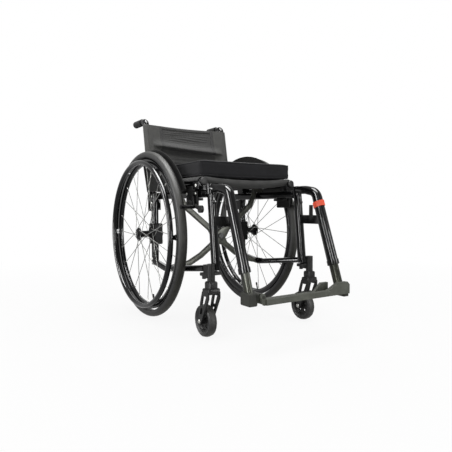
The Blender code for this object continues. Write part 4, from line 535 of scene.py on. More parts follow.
def hub_outline(width):
    """The section of the hub as (radius, distance from its inner face)."""
    flange_face = width - HUB_CAP_THICKNESS
    floor = width - HUB_COUNTERBORE_DEPTH
    fillet = HUB_FLANGE_THICKNESS + HUB_SHELL_FILLET
    return [
        (HUB_BORE, 0),
        (HUB_FLANGE_RADIUS, 0),
        (HUB_FLANGE_RADIUS, HUB_FLANGE_THICKNESS),
        (HUB_SHELL_RADIUS + HUB_SHELL_FILLET, fillet),
        (HUB_SHELL_RADIUS, HUB_SHELL_START),
        (HUB_SHELL_RADIUS, flange_face - HUB_SHELL_START),
        (HUB_SHELL_RADIUS + HUB_SHELL_FILLET, flange_face - fillet),
        (HUB_FLANGE_RADIUS, flange_face - HUB_FLANGE_THICKNESS),
        (HUB_FLANGE_RADIUS, flange_face),
        (HUB_CAP_RADIUS, width),
        (HUB_COUNTERBORE, width),
        (HUB_COUNTERBORE, floor),
        (HUB_BORE, floor),
    ]


def handrim_outline(radius, ring_x):
    """The round section of the handrim's tube, about its centre's radius and place along X."""
    section = []
    for step in range(HANDRIM_TUBE_SIDES):
        angle = math.tau * step / HANDRIM_TUBE_SIDES
        out = HANDRIM_TUBE_RADIUS * math.cos(angle)
        section.append((radius + out, ring_x + HANDRIM_TUBE_RADIUS * math.sin(angle)))
    return section


def handrim_tabs(centre, radius, start_x, end_x, sign):
    """Tapering tabs from the rim to the handrim, and the screws that hold them."""
    tabs = bmesh.new()
    screws = bmesh.new()
    places = (start_x, start_x + sign * TAB_FOOT, end_x)
    for index in range(HANDRIM_TABS):
        sideways = radial(math.tau * (index + 0.5) / HANDRIM_TABS)
        outward = Vector((0, -sideways.z, sideways.y))
        base = Vector((0, centre.y, centre.z)) + outward * radius
        rings = []
        for x, half_width in zip(places, TAB_HALF_WIDTHS):
            ring = []
            for lift, turn in ((-1, -1), (-1, 1), (1, 1), (1, -1)):
                corner = base + outward * lift * TAB_HALF_THICKNESS + sideways * turn * half_width
                ring.append(corner + Vector((x, 0, 0)))
            rings.append(ring)
        skin(tabs, rings)
        place = base - outward * HANDRIM_TUBE_RADIUS * 0.4 + Vector((end_x, 0, 0))
        button_head(place, -outward, TAB_SCREW_RADIUS, TAB_SCREW_HEIGHT, screws)
    return tabs, screws


def valve_stem(centre, rim_inner):
    """The tyre valve with its cap, pointing from the rim to the hub."""
    outward = radial(VALVE_ANGLE)
    profile = [
        (0, VALVE_NUT_RADIUS),
        (VALVE_NUT_HEIGHT, VALVE_NUT_RADIUS),
        (VALVE_NUT_HEIGHT, VALVE_STEM_RADIUS),
        (VALVE_LENGTH * 0.62, VALVE_STEM_RADIUS),
        (VALVE_LENGTH * 0.62, 0.0038),
        (VALVE_LENGTH * 0.97, 0.0034),
        (VALVE_LENGTH, 0),
    ]
    return turn_about(profile, centre + outward * rim_inner, -outward, 16)


def add_wheel(side, sign):
    """The tyre, rim, spokes, hub, handrim and valve of one rear wheel."""
    body = f"{side}_wheel"
    centre, rim_half = measure(f"wheel_rim_{side}")
    rim_inner = rim_half.z - RIM_DEPTH

    tyre_half = measure(f"tyre_{side}")[1]
    outline = tyre_outline(tyre_half.z, rim_half.z + SEAT_GAP, tyre_half.x)
    tyre_solid = ring_about_x(outline, centre, TYRE_SIDES)
    tyre = add_mesh(f"tyre_tread_{side}", tyre_solid, wheel_rubber, body, 60)
    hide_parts(f"tyre_{side}")

    section = rim_outline(rim_half.z, rim_inner, rim_half.x)
    rim_solid = ring_about_x(section, centre, RIM_SIDES)
    rim = add_mesh(f"rim_{side}", rim_solid, black_anodised, body)
    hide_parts(f"wheel_rim_{side}")

    hub_middle, hub_half = measure(f"wheel_hub_{side}")
    inner_x = hub_middle.x - sign * hub_half.x
    outer_x = hub_middle.x + sign * hub_half.x
    half_pitch = math.tau / SPOKES_PER_FLANGE / 2
    flanges = ((inner_x + sign * 0.002, 0.0), (outer_x - sign * 0.004, half_pitch))
    spokes, nipples = laced_spokes(centre, flanges, rim_inner)
    add_mesh(f"spokes_{side}", spokes, spoke_steel, body)
    add_mesh(f"spoke_nipples_{side}", nipples, bright_zinc, body)

    section = hub_outline(2 * hub_half.x)
    section = [(radius, inner_x - centre.x + sign * x) for radius, x in section]
    hub_solid = ring_about_x(rounded(section, HUB_CORNER, 2), centre, HUB_SIDES)
    hub = add_mesh(f"hub_{side}", hub_solid, satin_powder, body)
    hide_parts(f"wheel_hub_{side}")

    ring_middle, ring_half = measure(f"handrim_{side}")
    ring_radius = ring_half.z - HANDRIM_TUBE_RADIUS
    ring_x = ring_middle.x + sign * (ring_half.x - HANDRIM_TUBE_RADIUS) - centre.x
    ring_solid = ring_about_x(handrim_outline(ring_radius, ring_x), centre, TYRE_SIDES)
    handrim = add_mesh(f"handrim_tube_{side}", ring_solid, black_anodised, body)
    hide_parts(f"handrim_{side}")

    start_x = centre.x + sign * (rim_half.x + SEAT_GAP)
    end_x = centre.x + ring_x - sign * HANDRIM_TUBE_RADIUS * 0.6
    tabs, screws = handrim_tabs(centre, ring_radius, start_x, end_x, sign)
    add_mesh(f"handrim_tabs_{side}", tabs, black_anodised, body)
    add_mesh(f"handrim_screws_{side}", screws, bright_zinc, body)
    add_mesh(f"valve_{side}", valve_stem(centre, rim_inner), moulded_black, body)


wheel_rubber = tyre_rubber(
    "moulded_tyre_rubber", "tyre_right", TYRE_WALL, TYRE_TREAD, TYRE_WALL_INSIDE, TYRE_TREAD_INSIDE
)
black_anodised = anodised_black()
spoke_steel = plated_steel("drawn_stainless_spoke_wire", SPOKE_GREY, SPOKE_GREY_PALE, 0.1, 0.4)
bright_zinc = plated_steel("zinc_plated_steel", ZINC_GREY, ZINC_BRIGHT, 0.35, 0.4)
oxide_steel = plated_steel("black_oxide_steel", OXIDE_BLACK, OXIDE_BLACK_PALE, 0.2, 0.35)
moulded_black = moulded_nylon("moulded_black_nylon", NYLON_BLACK, NYLON_BLACK_PALE, 1.0, 0.45)
for side, sign in CHAIR_SIDES.items():
    add_wheel(side, sign)
    dress(oxide_steel, f"wheel_axle_{side}", f"axle_button_{side}")


# Casters
# Small moulded wheels with grey rubber tyres turn in forks, and the forks swivel on stems in
# the black housings at the front of each side frame. A bolt through each fork holds its wheel.
CASTER_WALL = "#191919"
CASTER_TREAD = "#363634"
CASTER_WALL_INSIDE = 0.009
CASTER_TREAD_INSIDE = 0.002
CASTER_BOLT_RADIUS = 0.0062
CASTER_BOLT_HEIGHT = 0.003
FORK_BLACK = "#1c1c1c"
FORK_GREY = "#282828"


def satin_alloy(name, dark, light, roughness, metallic):
    """Aluminium with a fine blast under its coat: satin, with long soft highlights.

    The blast is drawn coarser than a real one, so that it shows.
    """
    finish = new_finish(name, metallic=metallic, roughness=roughness, specular_ior_level=0.1)
    mottle(finish, 35, 5.0, (0.3, dark), (0.75, light))
    grain(finish, "Noise", 0.9, 2.0, 0.12, 0.0002)
    return finish[0]


caster_rubber = tyre_rubber(
    "moulded_caster_rubber",
    "caster_tyre_right",
    CASTER_WALL,
    CASTER_TREAD,
    CASTER_WALL_INSIDE,
    CASTER_TREAD_INSIDE,
)
fork_black = satin_alloy("black_cast_aluminium", FORK_BLACK, FORK_GREY, 0.35, 0.12)
for side in CHAIR_SIDES:
    dress(moulded_black, f"caster_wheel_{side}", f"caster_housing_{side}")
    dress(caster_rubber, f"caster_tyre_{side}")
    dress(fork_black, f"caster_fork_{side}")
    fork_middle, fork_half = measure(f"caster_fork_{side}")
    hub = measure(f"caster_tyre_{side}")[0]
    bolts = bmesh.new()
    for turn in (-1, 1):
        place = (fork_middle.x + turn * fork_half.x, hub.y, hub.z)
        button_head(place, (turn, 0, 0), CASTER_BOLT_RADIUS, CASTER_BOLT_HEIGHT, bolts)
    add_mesh(f"caster_bolts_{side}", bolts, bright_zinc, f"{side}_caster_fork")


# Scissor brace
# Two grey aluminium arms cross behind the front posts and turn on one bolt. Their lower ends
# hinge on the lower rails, and their upper ends carry the seat rails, so that the chair folds.
ARM_DARK = "#3f403b"
ARM_LIGHT = "#54554e"

arm_alloy = satin_alloy("grey_anodised_aluminium", ARM_DARK, ARM_LIGHT, 0.38, 0.15)
dress(arm_alloy, "brace_arm_front", "brace_arm_rear")
dress(oxide_steel, "brace_bolt")


# Seat sling
# Woven nylon is stretched between the seat rails, which lie in tunnels sewn along its sides.
# It sags under the cushion, a turned hem closes its front edge, and a band hangs before it.
SLING_DARK = "#131312"
SLING_LIGHT = "#1e1e1c"
WEAVE_MM = 2.2
SLING_SAG = 0.014
SLING_LIFT = 0.0022
SLING_THICKNESS = 0.003
SLING_RIPPLE = 0.0012
HEM_THICKNESS = 0.0016
HEM_WIDTHS = (0.0003, 0.007, 0.014, 0.021)
TUNNEL_WRAP = 84
TUNNEL_LAP = 14
TUNNEL_LIFT = 0.0018
BAND_FRONT = 0.0015
BAND_TOP = 0.003
BAND_DROP = 0.027
BAND_BULGE = 0.004
BAND_PUCKER = 0.0012
BAND_THICKNESS = 0.0022


def woven_nylon(name, dark, light, thread_mm, upward, sheen=0.08):
    """Woven nylon: a dull cloth of crossing threads, drawn coarse enough to show.

    The threads run along X and along the upward axis.
    """
    finish = new_finish(
        name,
        roughness=0.86,
        ior=1.5,
        sheen_weight=sheen,
        sheen_roughness=0.5,
        specular_ior_level=0.2,
    )
    material, shader, place = finish
    mottle(finish, 28, 6.0, (0.3, dark), (0.75, light))
    parts = add_node(material, "ShaderNodeSeparateXYZ", None, {"Vector": (place, "Object")})
    waves = {}
    for index, axis in enumerate(("X", upward)):
        pitch = {"operation": "MULTIPLY", 1: math.tau * 1000 / thread_mm}
        turn = add_node(material, "ShaderNodeMath", pitch, {0: (parts, axis)})
        wave = add_node(material, "ShaderNodeMath", {"operation": "SINE"}, {0: (turn, "Value")})
        waves[index] = (wave, "Value")
    weave = add_node(material, "ShaderNodeMath", {"operation": "MULTIPLY"}, waves)
    height = {"Strength": 0.35, "Distance": 0.0004}
    bump = add_node(material, "ShaderNodeBump", height, {"Height": (weave, "Value")})
    material.node_tree.links.new(bump.outputs["Normal"], shader.inputs["Normal"])
    return material


def cloth_band(name, rows, thickness, material, body):
    """A sheet through rows of points, given a thickness to both sides."""
    solid = bmesh.new()
    skin(solid, rows, around=False)
    piece = add_mesh(name, solid, material, body, 80)
    thick = piece.modifiers.new("thickness", "SOLIDIFY")
    thick.thickness = thickness
    thick.offset = 0
    return piece


def seat_section(lift):
    """Across the seat, from the top of one rail to the top of the other, in a sag."""
    points = []
    for share in spaced(-1, 1, 32):
        sag = SLING_SAG * (1 - share * share) ** 1.5
        points.append((share * rail_x, rail_z + (rail_radius + lift) - sag))
    return points


def seat_rows(section):
    """Rows of the seat's cloth from its front to its rear, with slight ripples across it."""
    rows = []
    for share in spaced(0, 1, 24):
        y = cloth_low.y + (cloth_high.y - cloth_low.y) * share
        ripple = SLING_RIPPLE * math.sin(share * 19) * math.sin(share * math.pi)
        row = []
        for x, z in section:
            slack = 1 - (x / rail_x) ** 2 if abs(x) < rail_x else 0
            row.append((x, y, z + ripple * slack))
        rows.append(row)
    return rows


def tunnel_rows(sign):
    """The sewn tunnel of one rail, from under the cloth to the rail's outer side."""
    radius = rail_radius + TUNNEL_LIFT
    section = []
    for turn in spaced(-TUNNEL_LAP, TUNNEL_WRAP, 8):
        angle = math.radians(turn)
        x = sign * (rail_x + radius * math.sin(angle))
        section.append((x, rail_z + radius * math.cos(angle)))
    section.sort()
    return [[(x, y, z) for x, z in section] for y in (cloth_low.y, cloth_high.y)]


def front_band_rows():
    """The band that hangs before the seat's front edge, bulged and slightly puckered."""
    rows = []
    for lift in spaced(0, 1, 12):
        bow = math.sin(lift * math.pi)
        row = []
        for share in spaced(-1, 1, 40):
            top = rail_z + rail_radius + BAND_TOP - SLING_SAG * 0.6 * (1 - share * share)
            drop = BAND_DROP * (1 - 0.25 * share * share)
            pucker = BAND_PUCKER * math.sin(share * 17) * bow
            y = cloth_low.y - BAND_FRONT - BAND_BULGE * bow + pucker
            row.append((share * (rail_x - rail_radius * 0.6), y, top - drop * lift))
        rows.append(row)
    return rows


rail_middle, rail_half = measure("seat_rail_left")
cloth_low, cloth_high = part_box("seat_sling")
rail_radius = rail_half.x
rail_x = rail_middle.x
rail_z = rail_middle.z
seat_cloth = woven_nylon("woven_black_nylon", SLING_DARK, SLING_LIGHT, WEAVE_MM, "Y")
section = seat_section(SLING_LIFT)
seat_sling = cloth_band(
    "seat_sling_cloth", seat_rows(section), SLING_THICKNESS, seat_cloth, "right_seat_rail"
)
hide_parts("seat_sling")
hem_section = seat_section(SLING_LIFT + HEM_THICKNESS)
hem_rows = [[(x, cloth_low.y + y, z) for x, z in hem_section] for y in HEM_WIDTHS]
hem = cloth_band("seat_sling_hem", hem_rows, HEM_THICKNESS, seat_cloth, "right_seat_rail")
for side, sign in CHAIR_SIDES.items():
    rows = tunnel_rows(sign)
    body = f"{side}_seat_rail"
    cloth_band(f"seat_tunnel_{side}", rows, SLING_THICKNESS, seat_cloth, body)
front_band = cloth_band(
    "seat_front_band", front_band_rows(), BAND_THICKNESS, seat_cloth, "right_seat_rail"
)
for piece in (seat_sling, hem, front_band):
    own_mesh(piece)


# Cushion
# A foam block in a black knitted cover lies loose on the sling. The cover is sewn from a top,
# a bottom and a side band, and piped where they meet.
COVER_BLACK = "#18181a"
COVER_WORN = "#202023"
COVER_KNIT_MM = 2.4
CUSHION_CORNER = 0.012
CUSHION_DRAW = 0.004
CUSHION_CROWN = 0.006
CUSHION_SAG = 0.002
CUSHION_EDGE = 0.004
CUSHION_VOXEL = 0.005
CUSHION_PRESSURE = 4.0
CUSHION_CAP = 0.0035
CLOTH_STIFFNESS = 30
SEAM_DRAW = 0.0012
SEAM_HALF = 0.003
PIPING_RADIUS = 0.0013
PIPING_DROP = 0.002


def knitted_cover():
    """A knitted polyester cover: very dull, with a faint sheen on its edges.

    Its loops are drawn coarser than real ones, so that they show.
    """
    finish = new_finish(
        "knitted_black_polyester",
        roughness=0.92,
        ior=1.5,
        sheen_weight=0.05,
        sheen_roughness=0.4,
        specular_ior_level=0.08,
    )
    mottle(finish, 40, 6.0, (0.3, COVER_BLACK), (0.8, COVER_WORN))
    grain(finish, "Voronoi", COVER_KNIT_MM, 0.0, 0.4, 0.0005)
    return finish[0]


def cushion_outline(half_x, half_y, corner, draw):
    """The cushion from above: round corners, with the sides drawn in between them."""
    points = []
    for x_sign, y_sign, start in ((1, -1, -90), (1, 1, 0), (-1, 1, 90), (-1, -1, 180)):
        for turn in spaced(start, start + 90, 8):
            angle = math.radians(turn)
            x = x_sign * (half_x - corner) + corner * math.cos(angle)
            y = y_sign * (half_y - corner) + corner * math.sin(angle)
            points.append((x, y))
        for share in spaced(-1, 1, 24)[1:-1]:
            inward = draw * (1 - share * share)
            along_x = share * (half_x - corner)
            along_y = share * (half_y - corner)
            points.append({
                -90: (half_x - inward, along_y),
                0: (-along_x, half_y - inward),
                90: (-half_x + inward, -along_y),
                180: (along_x, -half_y + inward),
            }[start])
    return points


def evaluated_mesh(piece):
    """The piece's mesh with its modifiers applied."""
    depsgraph = bpy.context.evaluated_depsgraph_get()
    return bpy.data.meshes.new_from_object(piece.evaluated_get(depsgraph))


def fill_cover(piece, hold):
    """Remeshes a cover evenly and fills it: cloth under pressure, with each point's way capped.

    hold(point) is the share of its way that a point may go, so that a face can stay flat.
    """
    remesh = piece.modifiers.new("even_mesh", "REMESH")
    remesh.mode = "VOXEL"
    remesh.voxel_size = CUSHION_VOXEL
    even = evaluated_mesh(piece)
    piece.modifiers.remove(remesh)
    piece.data = even
    even.shade_smooth()
    start = [vertex.co.copy() for vertex in even.vertices]
    cloth = piece.modifiers.new("fill", "CLOTH")
    cloth.settings.use_pressure = True
    cloth.settings.uniform_pressure_force = CUSHION_PRESSURE
    cloth.settings.effector_weights.gravity = 0
    cloth.settings.tension_stiffness = CLOTH_STIFFNESS
    cloth.settings.compression_stiffness = CLOTH_STIFFNESS
    for moment in range(1, 21):
        bpy.context.scene.frame_set(moment)
    filled = evaluated_mesh(piece)
    for vertex, first, now in zip(even.vertices, start, filled.vertices):
        way = now.co - first
        if way.length > CUSHION_CAP:
            way = way.normalized() * CUSHION_CAP
        vertex.co = first + way * hold(first)
    piece.modifiers.remove(cloth)
    bpy.data.meshes.remove(filled)
    bpy.context.scene.frame_set(1)
    finer = piece.modifiers.new("finer", "SUBSURF")
    finer.levels = 1
    finer.render_levels = 1


def draw_seams(piece):
    """Sags the filled cover between the rails, and draws it in along both seams."""
    for vertex in piece.data.vertices:
        across = (vertex.co.x - middle.x) / half.x
        depth = (high.z - vertex.co.z) / (high.z - low.z)
        vertex.co.z -= CUSHION_SAG * max(0.0, 1 - across * across) ** 1.5 * depth
        edge = min(abs(vertex.co.z - seam_top), abs(vertex.co.z - seam_bottom))
        along = abs(vertex.co.y - middle.y) / half.y
        if max(abs(vertex.co.x - middle.x) / half.x, along) > 0.93:
            pull = SEAM_DRAW * math.exp(-((edge / SEAM_HALF) ** 2))
            vertex.co.x -= math.copysign(pull, vertex.co.x - middle.x) * (abs(across) > 0.9)
            vertex.co.y -= math.copysign(pull, vertex.co.y - middle.y) * (abs(across) <= 0.9)


def piping_path(shape, z):
    """Where a cord lies on the cover along the seam at a height."""
    path = []
    for x, y in outline:
        share = (high.z - z) / (high.z - low.z)
        sag = CUSHION_SAG * max(0.0, 1 - (x / half.x) ** 2) ** 1.5 * share
        target = Vector((middle.x + x * 1.01, middle.y + y * 1.01, z - sag))
        found, place = shape.closest_point_on_mesh(target)[:2]
        path.append(Vector((place.x, place.y, z - sag)) if found else target)
    return path


def add_piping(name, path):
    """A closed round cord sewn along a path."""
    solid = bmesh.new()
    rings = []
    for before, place, after in zip(path[-1:] + path, path, path[1:] + path[:1]):
        along = (after - before).normalized()
        side = along.cross(Vector((0, 0, 1))).normalized()
        rings.append(circle(place, side, side.cross(along), PIPING_RADIUS, 8))
    skin(solid, rings, closed=True)
    return add_mesh(name, solid, cover, "right_seat_rail")


cover = knitted_cover()
low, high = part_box("cushion")
middle, half = measure("cushion")
top_z = high.z - CUSHION_CROWN * 0.5
seam_top = top_z - PIPING_DROP
seam_bottom = low.z + CUSHION_EDGE
outline = cushion_outline(half.x, half.y, CUSHION_CORNER, CUSHION_DRAW)
levels = [
    (0.985, low.z + 0.001),
    (1.0, low.z + CUSHION_EDGE),
    (0.994, low.z + (top_z - low.z) * 0.5),
    (1.0, top_z - CUSHION_EDGE),
    (0.988, top_z),
    (0.80, top_z + CUSHION_CROWN * 0.35),
    (0.50, top_z + CUSHION_CROWN * 0.55),
    (0.20, top_z + CUSHION_CROWN * 0.65),
]
cushion_solid = bmesh.new()
cushion_rings = []
for share, z in levels:
    cushion_rings.append([(middle.x + x * share, middle.y + y * share, z) for x, y in outline])
skin(cushion_solid, cushion_rings)
cushion = add_mesh("cushion_cover", cushion_solid, cover, "right_seat_rail")
fill_cover(cushion, lambda point: 0.15 if point.z < seam_bottom else 0.8)
draw_seams(cushion)
surface = bpy.context.evaluated_depsgraph_get()
surface.update()
shape = cushion.evaluated_get(surface)
paths = {"top": piping_path(shape, seam_top), "bottom": piping_path(shape, seam_bottom)}
pipes = [add_piping(f"cushion_piping_{name}", path) for name, path in paths.items()]
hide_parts("cushion")
for piece in [cushion, *pipes]:
    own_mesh(piece)


# Backrest
# A nylon sling goes round both back tubes in sewn sleeves. Its side panels are stiffened and
# end in a sewn band, and the cloth between them hangs slack and folds across above the seat.
BACK_PANEL = "#353532"
BACK_PANEL_PALE = "#3f3f3b"
BACK_MIDDLE = "#1b1b19"
BACK_MIDDLE_PALE = "#272724"
WEBBING = "#191918"
WEBBING_PALE = "#222221"
WEBBING_MM = 3.0
BACK_SHEEN = 0.22
BACK_TUBE_RADIUS = 0.011
BACK_LEAN = math.radians(10.5)
BACK_GAP = 0.0033
BACK_LIFT = 0.0020
BACK_SAG = 0.020
BACK_COLUMNS = 80
BACK_LEVELS = 200
BACK_THICKNESS = 0.0026
PANEL_THICKNESS = 0.0012
PANEL_LIFT = 0.0019
BAND_X = 0.118
BAND_WIDTH = 0.012
WEBBING_THICKNESS = 0.0014
WEBBING_LIFT = 0.0022
HEM_LIFT = 0.0016
HEM_DROPS = (0.0, 0.004, 0.008, 0.012)
SLEEVE_REACH = 0.15
SLEEVE_WRAP = math.radians(110)
SLEEVE_THICKNESS = 0.0034
FOLD_Z = 0.636
FOLD_TILT = 0.010
FOLD_DEPTH = 0.020
FOLD_ABOVE = 0.016
FOLD_BELOW = 0.0065
DIP_DROP = 0.024
DIP_DEPTH = 0.006
DIP_HALF = 0.010
CREASE_WANDER = 0.0030
# Each crease of the slack cloth as its height, depth, half width and phase.
CREASES = (
    (0.712, 0.0012, 0.0020, 0.3),
    (0.704, 0.0014, 0.0018, 0.9),
    (0.696, 0.0016, 0.0022, 1.4),
    (0.687, 0.0013, 0.0018, 1.9),
    (0.679, 0.0018, 0.0022, 2.4),
    (0.670, 0.0016, 0.0020, 3.1),
    (0.662, 0.0019, 0.0022, 3.7),
    (0.654, 0.0014, 0.0020, 4.3),
    (0.600, 0.0018, 0.0050, 4.9),
    (0.584, 0.0020, 0.0050, 5.4),
    (0.566, 0.0022, 0.0060, 5.9),
    (0.548, 0.0018, 0.0060, 6.6),
)


def bell(distance, half):
    """A smooth hump: 1 at no distance, and nearly 0 past twice its half width."""
    return math.exp(-((distance / half) ** 2))


def back_line_y(z):
    """Where the tubes' centre line lies at a height."""
    foot = back_low.y + BACK_TUBE_RADIUS / math.cos(BACK_LEAN) + BACK_GAP
    return foot + (z - back_low.z) * math.tan(BACK_LEAN)


def creases(u, z):
    """How far the creases stand out at a point of the cloth."""
    total = 0.0
    for count, (height, size, half, phase) in enumerate(CREASES):
        line = height + CREASE_WANDER * math.sin(u * (2.4 + 0.3 * count) + phase)
        total += size * bell(z - line, half) * (0.6 + 0.4 * math.sin(u * 5 + phase * 3))
    return total


def back_point(u, z):
    """A point of the cloth. u runs from -1 at the right tube to 1 at the left, and past them."""
    wrap = BACK_TUBE_RADIUS / math.cos(BACK_LEAN) + BACK_LIFT
    if abs(u) > 1:
        angle = (abs(u) - 1) * SLEEVE_WRAP / SLEEVE_REACH
        x = math.copysign(tube_x + wrap * math.sin(angle), u)
        return Vector((x, back_line_y(z) - wrap * math.cos(angle), z))
    x = u * tube_x
    sag = BACK_SAG * (1 - u * u) ** 1.5
    slack = max(0.0, 1 - (abs(x) / (tube_x * 0.93)) ** 4)
    tilt = FOLD_Z - FOLD_TILT * u
    fold = FOLD_DEPTH * bell(z - tilt, FOLD_ABOVE if z > tilt else FOLD_BELOW) * slack
    dip = DIP_DEPTH * bell(z - tilt + DIP_DROP, DIP_HALF) * slack
    inner = max(0.0, 1 - (abs(x) / (BAND_X - BAND_WIDTH / 2)) ** 6)
    forward_y = back_line_y(z) - wrap + sag - fold + dip - creases(u, z) * inner
    return Vector((x, forward_y, z))


def back_rows(heights, turns, lift):
    """Rows of points on the cloth, brought forward so that a layer lies on it."""
    return [[back_point(u, z) + Vector((0, -lift, 0)) for u in turns] for z in heights]


tube_x = measure("back_tube_left")[0].x
back_low, back_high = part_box("backrest_sling")
sling_nylon = woven_nylon(
    "woven_charcoal_nylon", BACK_MIDDLE, BACK_MIDDLE_PALE, WEAVE_MM, "Z", BACK_SHEEN
)
panel_nylon = woven_nylon("stiffened_charcoal_nylon", BACK_PANEL, BACK_PANEL_PALE, WEAVE_MM, "Z")
webbing = woven_nylon("charcoal_nylon_webbing", WEBBING, WEBBING_PALE, WEBBING_MM, "Z")
columns = spaced(-1, 1, BACK_COLUMNS)
levels = spaced(back_low.z, back_high.z, BACK_LEVELS)
rows = back_rows(levels, columns, 0)
backrest = cloth_band("backrest_cloth", rows, BACK_THICKNESS, sling_nylon, "frame_right")
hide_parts("backrest_sling")
layers = []
panel_end = (BAND_X + BAND_WIDTH / 2) / tube_x
for side, first, last in (("right", -1, -panel_end), ("left", panel_end, 1)):
    panel = back_rows(levels, spaced(first, last, 20), PANEL_LIFT)
    name = f"back_panel_{side}"
    layers.append(cloth_band(name, panel, PANEL_THICKNESS, panel_nylon, "frame_right"))
for side, sign in CHAIR_SIDES.items():
    across = [(sign * BAND_X + BAND_WIDTH * (step / 6 - 0.5)) / tube_x for step in range(7)]
    band = back_rows([z for z in levels if z >= FOLD_Z - BAND_WIDTH], across, WEBBING_LIFT)
    name = f"back_band_{side}"
    layers.append(cloth_band(name, band, WEBBING_THICKNESS, webbing, "frame_right"))
top = back_rows([back_high.z - drop for drop in HEM_DROPS], columns, HEM_LIFT)
layers.append(cloth_band("back_top_hem", top, WEBBING_THICKNESS, sling_nylon, "frame_right"))
for side, first, last in (("right", -1 - SLEEVE_REACH, -1), ("left", 1, 1 + SLEEVE_REACH)):
    sleeve = back_rows(levels[::4], spaced(first, last, 8), 0)
    name = f"back_sleeve_{side}"
    cloth_band(name, sleeve, SLEEVE_THICKNESS, panel_nylon, f"frame_{side}")
for piece in [backrest, *layers]:
    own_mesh(piece)


# Push handles
# Grips of soft foam rubber are pushed over the rearward bends of the back tubes. They stretch
# as they go on, and that holds them.
GRIP_BLACK = "#1c1c1c"
GRIP_WORN = "#262625"
GRIP_PORE_MM = 1.6


def foam_rubber():
    """Moulded foam rubber: dead matt, with open pores that break up the highlight."""
    finish = new_finish("moulded_foam_rubber", roughness=0.85, ior=1.5, specular_ior_level=0.1)
    mottle(finish, 9, 5.0, (0.3, GRIP_BLACK), (0.75, GRIP_WORN))
    grain(finish, "Voronoi", GRIP_PORE_MM, 0.0, 0.5, 0.0003)
    return finish[0]


dress(foam_rubber(), "push_grip_right", "push_grip_left")


# Side guards
# Thin guards moulded in black plastic stand between the seat and the wheels and keep clothes
# off the tyres. Each follows its tyre, and two tabs at its foot hold it to the top rail.
GUARD_BLACK = "#141414"
GUARD_PALE = "#262625"
GUARD_GRAIN_MM = 6


def grained_plastic():
    """Plastic from a deeply grained mould: matt, and its grain shows only as a dull mottle.

    The grain is drawn coarser than a real one, so that it shows.
    """
    finish = new_finish("grained_black_plastic", roughness=0.7, ior=1.5, specular_ior_level=0.05)
    mottle(finish, GUARD_GRAIN_MM, 5.0, (0.35, GUARD_BLACK), (0.7, GUARD_PALE))
    grain(finish, "Noise", GUARD_GRAIN_MM, 5.0, 0.4, 0.0003)
    return finish[0]


dress(grained_plastic(), "side_guard_right", "side_guard_left")


# Hangers and footplate
# Bent tube hangers turn on the front posts. Inner tubes slide in their lower ends and carry a
# one-piece footplate of glass-filled nylon, which flips up about its clamp on the right tube.
OLIVE = "#5b5d55"
OLIVE_DARK = "#4a4c45"
CLAMP_DARK = "#262722"
CLAMP_PALE = "#34352f"
EXTENSION_DARK = "#1f201c"
EXTENSION_PALE = "#373830"
RING_ORANGE_DARK = "#f55a3c"
RING_ORANGE = "#ff6446"


def filled_nylon(name, dark, light):
    """Glass-filled nylon from a spark-eroded mould: an even grain that spreads highlights.

    The grain is drawn coarser than a real one, so that it shows.
    """
    finish = new_finish(name, roughness=0.5, ior=1.53, specular_ior_level=0.08)
    mottle(finish, 30, 6.0, (0.3, dark), (0.7, light))
    grain(finish, "Noise", 1.2, 3.0, 0.3, 0.0002)
    return finish[0]


def orange_acetal():
    """A turned acetal ring: smooth and a little waxy, so its highlight is broad and soft."""
    finish = new_finish("turned_orange_acetal", roughness=0.38, ior=1.48, specular_ior_level=0.1)
    mottle(finish, 12, 4.0, (0.3, RING_ORANGE_DARK), (0.7, RING_ORANGE))
    return finish[0]


olive_nylon = filled_nylon("spark_grained_nylon", OLIVE_DARK, OLIVE)
clamp_nylon = filled_nylon("spark_grained_dark_nylon", CLAMP_DARK, CLAMP_PALE)
extension_alloy = satin_alloy(
    "blasted_dark_aluminium", EXTENSION_DARK, EXTENSION_PALE, 0.26, 0.3
)
dress(olive_nylon, "footplate")
dress(clamp_nylon, "footplate_clamp")
dress(orange_acetal(), "hanger_sleeve_left")
dress(black_powder, "hanger_tube_right", "hanger_tube_left", edge=TUBE_EDGE, round_below=50)
dress(extension_alloy, "extension_tube_right", "extension_tube_left")
dress(moulded_black, "latch_lever_right", "latch_lever_left")


# Brakes
# Push-to-lock brakes sit on the top rails. A coated plate carries a moulded lever, and an arm
# that moves with the lever presses its pad into the tyre.
dress(moulded_black, "brake_lever_right", "brake_lever_left")


# Fastenings
# Zinc-plated button-head screws hold the plates, slings and brakes, moulded plugs close the
# open ends of the seat rails, and ribbed nylon bearers lie under these when the chair is open.
PLUG_LENGTH = 0.0035
BEARER_FRONT_Y = -0.1420
BEARER_REAR_Y = -0.0280
BEARER_HEIGHT = 0.0162
BEARER_CLEARANCE = 0.0006
BEARER_INSET = 0.0015
BEARER_CHAMFER = 0.002
BEARER_GROOVE = 0.0012
BEARER_RIBS = 7
SCREW_RADIUS = 0.0042
SCREW_HEIGHT = 0.0022
SCREW_EDGE = 0.010
BRAKE_SCREW_EDGE = 0.008
BRAKE_PINS_STAND = 0.0106
SADDLE_MIDDLES_Y = (-0.1605, 0.1115)
SADDLE_SCREW_DROP = 0.011
SADDLE_SCREW_RADIUS = 0.0055
SLING_SCREW_U = 1.155
SLING_SCREW_EDGE = 0.022
SLING_SCREW_MIDDLE = 0.118
POST_SCREW_LOW = 0.022
POST_SCREW_HIGH = 0.034


